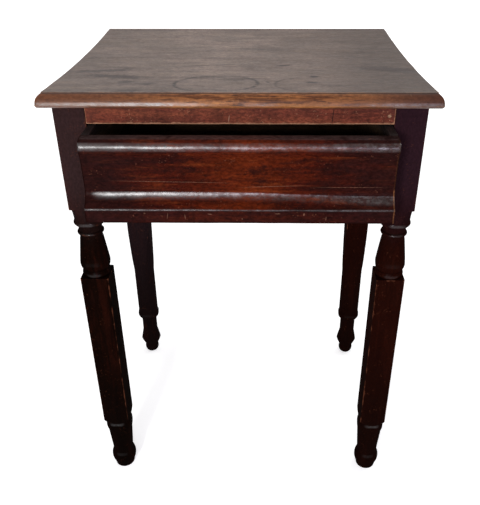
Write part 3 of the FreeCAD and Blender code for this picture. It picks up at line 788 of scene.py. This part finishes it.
def aged(co):
    """Eases the back arrises, cups the plank across the grain and wears its faces."""
    back_gap = top_back_y - co[:, 1]
    for surface, inward in ((table_height, -1), (frame_top, 1)):
        near_arris = np.clip(1 - (back_gap + np.abs(co[:, 2] - surface)) / arris_ease, 0, 1)
        co[:, 2] += inward * near_arris * arris_ease * 0.35
        co[:, 1] -= near_arris * arris_ease * 0.35
    across = (co[:, 1] - (top_front_y + top_back_y) / 2) / ((top_back_y - top_front_y) / 2)
    edge, gleam = moulded(co), nose_gleam(co)
    co[:, 2] -= cup_depth * np.clip(1 - across**2, 0, 1)
    uneven = 1 + waves(co * (1, 2, 0), 11, 0.12)
    co[:, 2] -= hand_wear * uneven * np.clip(1 - across**8, 0, 1)
    return co, edge, gleam * edge


def plank():
    co, edge, gleam = aged(plank_points)
    made = piece("plank_top", co, plank_faces)
    store(made.data, "edge", edge)
    store(made.data, "gleam", gleam)
    return made


finish_piece(plank(), "table", "top_board", top_wood)

# %% [markdown]
# A front leg is one square stick. The lathe takes the turned parts out of it and leaves two
# stretches square, so every height is the smaller of two shapes: the turning's radius and the
# square stock. Geometry Nodes can say exactly that. The tree takes a line whose points are
# (radius, 0, height), lays a grid round the axis with one row for each point, and moves every
# point out to the turning or to the square, whichever comes first. Seam and poles are then merged.
# The rows round the square crowd together near its four arrises, because an eased arris is what
# catches the light. The same tree makes the rear legs from another line.

# %% Nodes of one shape
class Tree(Nodes):
    """A Geometry Nodes tree under construction. It starts from the points that it is given."""

    def __init__(self, name, inputs):
        super().__init__(bpy.data.node_groups.new(name, "GeometryNodeTree"))
        face = self.tree.interface
        face.new_socket("Geometry", in_out="INPUT", socket_type="NodeSocketGeometry")
        for label, kind, value in inputs + [("Wood", "Material", None)]:
            made = face.new_socket(label, in_out="INPUT", socket_type="NodeSocket" + kind)
            if value is not None:
                made.default_value = value
        face.new_socket("Geometry", in_out="OUTPUT", socket_type="NodeSocketGeometry")
        self.given = self.node("NodeGroupInput", {})

    def joined(self, x, y, z):
        return self.node("ShaderNodeCombineXYZ", {"X": x, "Y": y, "Z": z})["Vector"]

    def shape(self, kind, inputs, output="Geometry", **settings):
        return self.node("GeometryNode" + kind, inputs, **settings)[output]

    def finish(self, geometry):
        """Ends the tree with one real shape in its wood."""
        whole = self.shape("RealizeInstances", {"Geometry": geometry})
        wood = self.shape("SetMaterial", {"Geometry": whole, "Material": self.given["Wood"]})
        self.node("NodeGroupOutput", {"Geometry": wood})
        return self.tree


print("Tree:", len([name for name in vars(Tree) if not name.startswith("_")]), "short names")

# %% The turner's tree
same_point = 0.02 * mm
thinnest = 1 * mm


def turner_tree():
    t = Tree("square_stock_on_the_lathe", [
        ("Profile Points", "Int", 10), ("Sides", "Int", 128),
        ("Half Stock", "Float", leg_square / 2), ("Arris Sharpness", "Float", 26.0),
        ("Crowding", "Float", 0.7), ("Unevenness", "Float", 0.1 * mm), ("Waves", "Float", 30.0),
        ("Seed", "Int", 1), ("Axis", "Vector", (0, 0, 0))])
    given, power = t.given, t.given["Arris Sharpness"]
    grid = t.shape("MeshGrid", {"Size X": 1.0, "Size Y": 1.0, "Vertices X": given["Sides"],
                                "Vertices Y": given["Profile Points"]}, "Mesh")
    place = t.shape("InputPosition", {}, "Position")
    at = t.parts(place)
    rows = t.minus(given["Profile Points"], 1.0)
    row = t.calc("ROUND", t.times(t.plus(at["Y"], 0.5), rows))
    point = t.parts(t.shape("SampleIndex", {"Geometry": given["Geometry"], "Value": place,
                                            "Index": row}, "Value",
                            data_type="FLOAT_VECTOR", domain="POINT"))
    even = t.times(t.plus(at["X"], 0.5), 2 * math.pi)
    swing = t.times(t.calc("SINE", t.times(even, 4.0)), 0.25)
    angle = t.calc("MULTIPLY_ADD", swing, given["Crowding"], even)
    cosine, sine = t.calc("COSINE", angle), t.calc("SINE", angle)
    both = t.plus(t.calc("POWER", t.calc("ABSOLUTE", cosine), power),
                  t.calc("POWER", t.calc("ABSOLUTE", sine), power))
    square = t.calc("DIVIDE", given["Half Stock"],
                    t.calc("POWER", both, t.calc("DIVIDE", 1.0, power)))
    radius = t.calc("MINIMUM", point["X"], square)
    x, y = t.times(radius, cosine), t.times(radius, sine)
    uneven = t.node("ShaderNodeTexNoise", {
        "Vector": t.joined(x, y, point["Z"]), "W": given["Seed"], "Scale": given["Waves"],
        "Detail": 2.0}, noise_dimensions="4D")["Fac"]
    shave = t.times(t.minus(uneven, 1.0), given["Unevenness"])
    share = t.plus(1.0, t.calc("DIVIDE", shave, t.calc("MAXIMUM", radius, thinnest)))
    worn = t.joined(t.times(x, share), t.times(y, share), point["Z"])
    placed = t.node("ShaderNodeVectorMath", {0: worn, 1: given["Axis"]}, operation="ADD")["Vector"]
    moved = t.shape("SetPosition", {"Geometry": grid, "Position": placed})
    return t.finish(t.shape("MergeByDistance", {"Geometry": moved, "Distance": same_point}))


lathe = turner_tree()
print(lathe.name, len(lathe.nodes), "nodes")

# %% [markdown]
# A tree does nothing until an object carries it as a modifier. The holder here is only a list of
# points. Its inputs are set by their identifiers before Blender first works the tree out, and the
# result is copied to a plain mesh, so no modifier is left on a finished piece.

# %% Running a tree
def grown(name, tree, points, settings, facing=None):
    """Runs a tree on a list of points and returns the plain mesh it makes, as an object."""
    base = bpy.data.meshes.new(name + "_points")
    base.from_pydata([tuple(p) for p in points], [], [])
    if facing:
        ways = base.attributes.new("facing", "FLOAT_VECTOR", "POINT")
        ways.data.foreach_set("vector", np.array(facing, np.float32).ravel())
    holder = linked(name + "_holder", base)
    modifier = holder.modifiers.new("tree", "NODES")
    modifier.node_group = tree
    known = {item.name: item.identifier for item in tree.interface.items_tree
             if item.in_out == "INPUT"}
    for label, value in settings.items():
        modifier[known[label]] = value
    bpy.context.view_layer.update()
    solid = bpy.data.meshes.new_from_object(
        holder.evaluated_get(bpy.context.evaluated_depsgraph_get()))
    solid.name = name
    holder.modifiers.remove(modifier)
    bpy.data.objects.remove(holder)
    return linked(name, solid)


print("inputs of the lathe:", [item.name for item in lathe.interface.items_tree][1:])

# %% [markdown]
# The front leg's line, from the floor up: a small foot, a swelling, a neck and a ring, the square
# block, then a collar, a vase, a ring and a bead, and the shoulder under the square post.
# A point is (radius, height); an arc has its middle and its end. Where a turned part meets the
# square block the radius jumps out past the stock's corners, which is how the flat shoulder forms.
# The rear leg's line is a small foot, a ball, an ankle, a ring, a round shaft and a long taper.

# %% Lines of the legs
clear_of_stock = 45
post_top = 715
FRONT_TURNING = [
    (0, 0), (17.5, 0), (18.7, 6), (19.0, 9), ((22.4, 20), (19.0, 37)), (18.6, 42), (22.2, 93),
    ((24.6, 105.5), (22.6, 118)), (22.6, 120), ((29.5, 124), (31.82, 130)), (clear_of_stock, 130),
    (clear_of_stock, 432.5), (21.2, 432.5), ((22.4, 436.75), (21.2, 441)), (20.4, 443),
    ((23.0, 448.5), (24.0, 455)), (18.3, 498), ((17.5, 502.05), (18.2, 506.1)),
    ((20.6, 508.8), (18.2, 511.5)), (17.7, 522.5), ((24.1, 526.5), (22.4, 530.5)),
    ((23.2, 541.75), (25.6, 553)), (clear_of_stock, 553), (clear_of_stock, post_top), (0, post_top)]
REAR_TURNING = [
    (0, 0), (11.5, 0), ((15.6, 9), (14.2, 18)), ((17.6, 25), (22.2, 36)),
    ((19.6, 49), (16.8, 62)), (16.8, 92), (18.2, 97), ((24.4, 107), (22.0, 117)), (22.0, 228),
    (31.82, 345), (clear_of_stock, 345), (clear_of_stock, post_top), (0, post_top)]
point_spacing = 2.5
arc_spacing = 1.2
corner_ease = 0.7


def line_points(moves):
    """Dense points in metres along lines and arcs, with a few extra next to each corner."""
    here = moves[0]
    line = [here]
    for move in moves[1:]:
        is_arc = isinstance(move[0], tuple)
        end = move[1] if is_arc else move
        run, rise = end[0] - here[0], end[1] - here[1]
        length = math.hypot(run, rise)
        if is_arc:
            line += arc_points(here, move[0], end, max(6, round(length / arc_spacing)))
        else:
            near = corner_ease / length
            stops = [share for share in (near, 1 - near) if 0.02 < share < 0.98]
            last = length - point_spacing / 2
            stops += list(np.arange(point_spacing, last, point_spacing) / length)
            line += [(here[0] + run * s, here[1] + rise * s) for s in sorted(stops)] + [end]
        here = end
    return [(radius * mm, 0, height * mm) for radius, height in line]


print(len(line_points(FRONT_TURNING)), "points in front,", len(line_points(REAR_TURNING)), "behind")

# %% [markdown]
# Most of the legs' varnish is dull. Only the front of some beads still shines, where nothing has
# rubbed it, so a leg's gleam is a short list of heights, kept to the side that faces the front.

# %% Legs
LEG_STOCK = {"Sides": 129, "Half Stock": leg_square / 2, "Arris Sharpness": 26.0, "Crowding": 0.7,
             "Unevenness": 0.35 * mm, "Waves": 45.0, "Wood": leg_wood}
# height, half width and brightness of each bead that still shines
FRONT_GLEAMS = [(527, 3.5, 0.5), (510, 2.5, 0.35), (457, 5, 0.12), (437, 3.5, 0.3),
                (114, 4, 0.45), (34, 4, 0.2)]
REAR_GLEAMS = [(110, 4, 0.15)]


def bead_gleam(co, x, y, gleams):
    """The shine on the front of the beads, where hands and feet haven't dulled them."""
    height = co[:, 2] / mm
    out = np.maximum(np.hypot(co[:, 0] - x, co[:, 1] - y), thinnest)
    bright = sum(brightness * step(np.abs(height - middle), half, half * 0.4)
                 for middle, half, brightness in gleams)
    return np.clip(bright, 0, 1) * step((y - co[:, 1]) / out, 0.75, 0.97)


def leg(name, moves, gleams, x, y, node, seed):
    line = line_points(moves)
    made = grown(name, lathe, line, LEG_STOCK | {
        "Profile Points": len(line), "Seed": seed, "Axis": (x, y, 0)})
    store(made.data, "gleam", bead_gleam(coordinates(made.data), x, y, gleams))
    return finish_piece(made, "table", node, leg_wood)


for side, x, seed in (("right", leg_axis_x, 3), ("left", -leg_axis_x, 7)):
    leg(f"turned_front_leg_{side}", FRONT_TURNING, FRONT_GLEAMS, x, front_axis_y,
        f"front_{side}_leg", seed)
    leg(f"tapered_rear_leg_{side}", REAR_TURNING, REAR_GLEAMS, x, rear_axis_y,
        f"rear_{side}_leg", seed + 20)

# %% [markdown]
# The drawer front is an ogee: a rounded nose at the top, a long flat face that leans back, a cove
# that sweeps out again, and a plain toe. A maker planes it along the board with hollow and round
# planes, so the mesh is made the same way, as one section carried along the length. Sections close
# together at the ends give the ends an eased arris. The varnish still shines on the nose, in the
# cove and on the toe's arris, and the line in the cove drops a little to the right and dies away.

# %% The ogee
drawer_half_width = 210.8 * mm
drawer_z0 = 569.2 * mm
drawer_z1 = 682.7 * mm
drawer_back_of_front_y = -210.5 * mm
toe_height, toe_out = 19.8, 34
cove_radius, cove_height, cove_deepest, cove_sweep = 20, 24, 17.8, 47.5
nose_turn, nose_wrap, board_thickness = 13, 30, 11
neck_out, neck_drop = 19.2, 19.7


def ogee_section():
    """(out, height) round the drawer front's section, from the back of its lower edge."""
    low, high = drawer_z0 / mm, drawer_z1 / mm
    toe, nose = low + toe_height, high - nose_turn
    cove = toe + cove_height
    wrap, sweep = math.radians(nose_wrap), math.radians(cove_sweep)
    nose_tip = (board_thickness + nose_turn, nose)
    nose_end = (board_thickness + nose_turn * math.cos(wrap), nose - nose_turn * math.sin(wrap))
    neck, deepest = (neck_out, nose - neck_drop), (cove_deepest, cove)

    def on_cove(angle):
        return (cove_deepest + cove_radius * (1 - math.cos(angle)),
                cove - cove_radius * math.sin(angle))

    def straight(start, end, count):
        return [(start[0] + (end[0] - start[0]) * k / count,
                 start[1] + (end[1] - start[1]) * k / count) for k in range(1, count + 1)]

    section = [(0, low)] + straight((0, low), (0, high), 20)
    section += straight((0, high), (board_thickness, high), 6)
    section += arc_points((board_thickness, high), nose_tip, nose_end, 26)
    section += arc_points(nose_end, bowed(nose_end, neck, 0.8), neck, 8)
    section += straight(neck, deepest, 16)
    section += arc_points(deepest, on_cove(sweep / 2), on_cove(sweep), 18)
    section += straight(on_cove(sweep), (toe_out - 0.4, toe + 0.36), 8)
    section += [(toe_out - 0.1, toe + 0.02), (toe_out, toe - 0.4)]
    section += straight((toe_out, toe - 0.4), (toe_out, low + 0.6), 10) + [(toe_out - 0.6, low)]
    section += straight((toe_out - 0.6, low), (0, low), 9)[:-1]
    return np.array(section) * mm


ogee_line = ogee_section()
print(len(ogee_line), "points round the ogee")

# %% Drawer front
end_ease = 0.8 * mm
front_near = [0, 0.25 * mm, 0.8 * mm, 2 * mm]
# how bright the nose and the cove are at places along the front
GLEAM_PLACES = (-0.21, -0.08, -0.026, 0.026, 0.083, 0.14, 0.19)
ON_NOSE = (1, 1, 0.75, 0.9, 0.5, 0.85, 1.2)
IN_COVE = (1, 1, 0.9, 0.85, 0.55, 0.75, 1.2)


def drawer_gleam(co):
    """Where the varnish is still bright: the nose, the cove and the arris over the toe."""
    x, out, up = co[:, 0], drawer_back_of_front_y - co[:, 1], co[:, 2] - drawer_z0
    nose = step(out, 16 * mm, 20 * mm) * step(up, 97 * mm, 103 * mm) * step(up, 111 * mm, 108 * mm)
    line = up + 5 * mm * step(x, -0.05, 0.19)
    cove = step(line, 40.5 * mm, 38.5 * mm) * step(line, 27 * mm, 36 * mm)
    cove *= step(out, 15 * mm, 17 * mm) * step(x, -0.205, -0.19)
    toe = step(np.abs(up - toe_height * mm), 1.6 * mm, 0.6 * mm) * step(out, 31 * mm, 33 * mm)
    along_nose = np.interp(x, GLEAM_PLACES, ON_NOSE)
    along_cove = np.interp(x, GLEAM_PLACES, IN_COVE)
    return np.clip((nose + toe) * along_nose + cove * along_cove, 0, 1)


def swept_front():
    """The ogee carried along the front, its ends drawn in a little and its faces uneven."""
    ahead = np.roll(ogee_line, -1, 0) - np.roll(ogee_line, 1, 0)
    outward = np.stack([-ahead[:, 1], ahead[:, 0]], 1)
    outward /= np.linalg.norm(outward, axis=1)[:, None]
    xs = stations(-drawer_half_width, drawer_half_width, 2.6 * mm, front_near)
    points = []
    for x in xs:
        gap = drawer_half_width - abs(x)
        shrink = 0.5 * mm * max(0, 1 - gap / end_ease) ** 2
        for out, z in ogee_line - outward * shrink:
            points.append((x, drawer_back_of_front_y - out, z))
    count = len(ogee_line)
    faces = []
    for i in range(len(xs) - 1):
        for k in range(count):
            a, b = i * count + k, i * count + (k + 1) % count
            faces.append([a, a + count, b + count, b])
    faces.append(list(range(count)))
    faces.append([(len(xs) - 1) * count + k for k in range(count)][::-1])
    co = np.array(points)
    proud = np.clip((drawer_back_of_front_y - co[:, 1]) / (20 * mm), 0, 1)
    co[:, 1] += proud * 0.35 * mm * np.clip(1 + waves(co * (1, 1, 2), 23, 0.05), 0, 2)
    made = piece("ogee_drawer_front", co, faces)
    store(made.data, "gleam", drawer_gleam(co))
    return made


finish_piece(swept_front(), "drawer", "drawer_front", drawer_wood)

# %% [markdown]
# The rail over the drawer is a plain board between the two posts, with its lower arris rubbed
# pale by the drawer and by fingers. A board with eased arrises is a box whose points near the
# edges are pulled on to a small round, so it catches a thin line of light as a planed edge does.

# %% Boards with eased arrises
def eased_board(name, low, high, spacing, ease, seed, wobble):
    """A box with rounded arrises and slightly uneven faces, from the two corners of the box."""
    near = [0, ease * 0.4, ease, ease * 2]
    axes = [stations(low[k], high[k], spacing, near) if high[k] - low[k] > ease * 6
            else np.linspace(low[k], high[k], 5) for k in range(3)]
    points, faces, known = [], [], {}

    def add(key):
        if key not in known:
            known[key] = len(points)
            points.append([axes[k][key[k]] for k in range(3)])
        return known[key]

    for axis in range(3):
        u, v = (axis + 1) % 3, (axis + 2) % 3
        for end in (0, len(axes[axis]) - 1):
            for i in range(len(axes[u]) - 1):
                for j in range(len(axes[v]) - 1):
                    face = []
                    for di, dj in ((0, 0), (1, 0), (1, 1), (0, 1)):
                        key = [0, 0, 0]
                        key[axis], key[u], key[v] = end, i + di, j + dj
                        face.append(add(tuple(key)))
                    faces.append(face if end else face[::-1])
    co = np.array(points)
    inner = np.clip(co, np.array(low) + ease, np.array(high) - ease)
    away = co - inner
    length = np.linalg.norm(away, axis=1)
    reach = np.abs(away).max(1)
    co = inner + away * np.where(length > 0, reach / np.maximum(length, 1e-9), 1)[:, None]
    inward = np.sign(inner - co)
    co += inward * (wobble * (1 + waves(co, seed, 0.06)) / 2)[:, None]
    return piece(name, co, faces)


rail_thickness = 24 * mm
rail = eased_board("top_rail_board", (-post_inner_x, face_y, top_rail_bottom),
                   (post_inner_x, face_y + rail_thickness, frame_top),
                   spacing=3 * mm, ease=0.8 * mm, seed=31, wobble=0.25 * mm)
finish_piece(rail, "table", "front_top_rail", rail_wood)

# %% [markdown]
# Twelve wooden pegs lock the tenons. They are whittled, a little out of round, and stand a hair
# proud because the legs have shrunk round them. They repeat, so a small tree puts one at each
# place in a list and turns it to face out of its leg.

# %% Peg tree
def peg_tree():
    t = Tree("pegs_in_their_holes", [
        ("Radius", "Float", 3 * mm), ("Length", "Float", 6 * mm), ("Seed", "Int", 4)])
    given = t.given
    rod = t.shape("MeshCylinder", {
        "Vertices": 20, "Side Segments": 3, "Fill Segments": 3,
        "Radius": given["Radius"], "Depth": given["Length"]}, "Mesh")
    facing = t.shape("InputNamedAttribute", {"Name": "facing"}, "Attribute",
                     data_type="FLOAT_VECTOR")
    turned = t.node("FunctionNodeAlignRotationToVector", {"Vector": facing}, axis="Z")["Rotation"]
    size = t.node("FunctionNodeRandomValue", {
        0: (0.93, 0.93, 1.0), 1: (1.0, 1.0, 1.0), "Seed": given["Seed"]},
        data_type="FLOAT_VECTOR")["Value"]
    return t.finish(t.shape("InstanceOnPoints", {
        "Points": given["Geometry"], "Instance": rod, "Rotation": turned, "Scale": size},
        "Instances"))


pegger = peg_tree()
print(pegger.name, len(pegger.nodes), "nodes")

# %% Pegs
peg_length = 6 * mm
peg_proud = 0.35 * mm
peg_inset = peg_proud - peg_length / 2
peg_heights = (599 * mm, 669 * mm)
side_peg_ys = (-140.5 * mm, 190.5 * mm)
back_peg_x = 225 * mm
peg_places, peg_facing = [], []
for z in peg_heights:
    for sign in (-1, 1):
        for y in side_peg_ys:
            peg_places.append((sign * (post_outer_x + peg_inset), y, z))
            peg_facing.append((sign, 0, 0))
        peg_places.append((sign * back_peg_x, back_y + peg_inset, z))
        peg_facing.append((0, 1, 0))

pegs = grown("whittled_pegs", pegger, peg_places, {
    "Radius": 3 * mm, "Length": peg_length, "Seed": 4, "Wood": leg_wood}, peg_facing)
store(pegs.data, "gleam", np.zeros(len(pegs.data.vertices)))
finish_piece(pegs, "table", "tenon_pegs", leg_wood)

# %% [markdown]
# The other pieces have the right shape already, so they stay as they are and get their wood.
# A weld and a small bevel ease their arrises without touching the meshes themselves.

# %% Pieces that keep their shape
WOODS = {
    "front_lower_rail": plain_wood_x, "drawer_back": plain_wood_x, "drawer_bottom": plain_wood_x,
    "drawer_stops": plain_wood_x, "glue_blocks": plain_wood_x, "back_apron": back_wood,
    "right_side_apron": apron_wood, "left_side_apron": apron_wood,
    "drawer_right_side": plain_wood_y, "drawer_left_side": plain_wood_y,
    "right_drawer_runner": plain_wood_y, "left_drawer_runner": plain_wood_y,
    "right_drawer_guide": plain_wood_y, "left_drawer_guide": plain_wood_y,
    "right_kicker": plain_wood_y, "left_kicker": plain_wood_y,
    "top_screws": iron, "drawer_bottom_nails": iron, "runner_nails": iron,
}
kept_ease = 0.6 * mm


def ease_arrises(kept):
    """Joins the loose triangles as the piece is drawn, and bevels its sharp edges."""
    weld = kept.modifiers.new("weld", "WELD")
    weld.merge_threshold = 0.01 * mm
    bevel = kept.modifiers.new("ease", "BEVEL")
    bevel.width = kept_ease
    bevel.segments = 2
    bevel.limit_method = "ANGLE"
    bevel.angle_limit = math.radians(40)


for node_name, material in WOODS.items():
    kept = nodes[node_name]
    kept.data.materials.clear()
    kept.data.materials.append(material)
    if material is not iron:
        ease_arrises(kept)
print(len(WOODS), "pieces keep their shape")

# %% [markdown]
# The table stands on a plain white floor in even light. The floor is a wide disc, so every view
# sees the same ground. It is pale rather than pure white, so the table's soft shadow shows, and it
# glows a little to the eye alone, more so far away, so it runs into the white behind it.

# %% Floor
floor_radius = 14.0
floor_sides = 96
GREY_FLOOR = (0.85, 0.85, 0.85, 1)
WHITE = (1, 1, 1, 1)


def floor():
    turns = [2 * math.pi * k / floor_sides for k in range(floor_sides)]
    rim = [(floor_radius * math.cos(turn), floor_radius * math.sin(turn), 0) for turn in turns]
    made = piece("studio_floor", rim, [list(range(floor_sides))])
    r = Recipe("white_floor")
    ray = r.node("ShaderNodeLightPath", {})
    mirrored = r.calc("MAXIMUM", ray["Is Glossy Ray"], ray["Is Transmission Ray"])
    metres_away = r.oval(0, 0, 1000, 1000)
    direct = r.times(ray["Is Camera Ray"], r.ranged(metres_away, 0.8, 3.5, 0.5, 1.0))
    r.surface({
        "Base Color": GREY_FLOOR, "Roughness": 0.9, "Specular IOR Level": 0.0,
        "Emission Color": WHITE,
        "Emission Strength": r.calc("MAXIMUM", r.times(mirrored, 0.5), direct)})
    made.data.materials.append(r.material)
    return made


print(floor().name, "laid")

# %% [markdown]
# A small lamp to the left of the camera draws the long highlights along the nose and the cove. A
# wider, bluer and weaker one beside it softens them, as a doorway does. A wide lamp above lifts the
# top, and one far off behind, well to the side, shows the back without a mirror image in the top.
# The world fills in the rest: it lights the table faintly, and is white where the eye sees it.

# %% Light
# name, place, aim, size, power, colour
LAMPS = [
    ("window", (-0.58, -2.3, 1.2), (0, -0.2, 0.6), (0.3, 0.3), 35, (1, 1, 1)),
    ("doorway", (0.25, -2.3, 1.15), (0, -0.2, 0.6), (1.1, 0.4), 18, (0.83, 0.79, 1.0)),
    ("ceiling", (0, 0.6, 3.2), (0, 0, 0.4), (3.0, 2.4), 43, (1.0, 0.98, 0.97)),
    ("back_fill", (6.2, 4.6, 1.5), (0, 0.1, 0.45), (3.0, 2.0), 240, (1, 1, 1))]


def lamp(name, place, aim, size, power, colour):
    data = bpy.data.lights.new(name, "AREA")
    data.shape = "RECTANGLE"
    data.size, data.size_y = size
    data.energy = power
    data.color = colour
    made = linked(name, data)
    made.location = place
    made.rotation_euler = (Vector(aim) - Vector(place)).to_track_quat("-Z", "Y").to_euler()


def studio_world():
    world = bpy.data.worlds.new("studio")
    world.use_nodes = True
    w = Nodes(world.node_tree)
    ray = w.node("ShaderNodeLightPath", {})
    mirrored = w.calc("MAXIMUM", ray["Is Glossy Ray"], ray["Is Transmission Ray"])
    level = w.node("ShaderNodeMapRange", {"Value": mirrored, "To Min": 0.32, "To Max": 0.9})
    seen = w.calc("MAXIMUM", level["Result"], ray["Is Camera Ray"])
    background = w.tree.nodes["Background"]
    w.put(background.inputs["Color"], WHITE)
    w.put(background.inputs["Strength"], seen)
    return world


for row in LAMPS:
    lamp(*row)
bpy.context.scene.world = studio_world()
bpy.context.scene.view_settings.view_transform = "Standard"
print(len(bpy.data.lights), "lamps")

# %% [markdown]
# The camera stands in front of the table at head height and looks down on it. Its pose is written
# as three turns, and its axes are built from them one by one.

# %% Camera
camera_place = (0.0305, -1.0112, 0.9620)
camera_turns = (-0.783, 30.770, -0.125)
frame_width = 480
focal_length = 627.73
shift_right, shift_up = -14.06, 11.03
sensor_width = 36


def camera():
    """Looks along a yaw and a pitch, with a small roll, all in degrees."""
    yaw, pitch, roll = (math.radians(v) for v in camera_turns)
    flat = Vector((math.sin(yaw), math.cos(yaw), 0))
    ahead = flat * math.cos(pitch) - Vector((0, 0, math.sin(pitch)))
    right = Vector((math.cos(yaw), -math.sin(yaw), 0))
    up = right.cross(ahead)
    rolled_right = math.cos(roll) * right + math.sin(roll) * up
    rolled_up = -math.sin(roll) * right + math.cos(roll) * up
    data = bpy.data.cameras.new("camera")
    data.sensor_fit = "HORIZONTAL"
    data.sensor_width = sensor_width
    data.lens = focal_length / frame_width * sensor_width
    data.shift_x = shift_right / frame_width
    data.shift_y = shift_up / frame_width
    made = linked("camera", data)
    turn = Matrix((rolled_right, rolled_up, -ahead)).transposed()
    made.matrix_world = Matrix.Translation(camera_place) @ turn.to_4x4()
    bpy.context.scene.camera = made
    return made


print(camera().name, "set")

# %% [markdown]
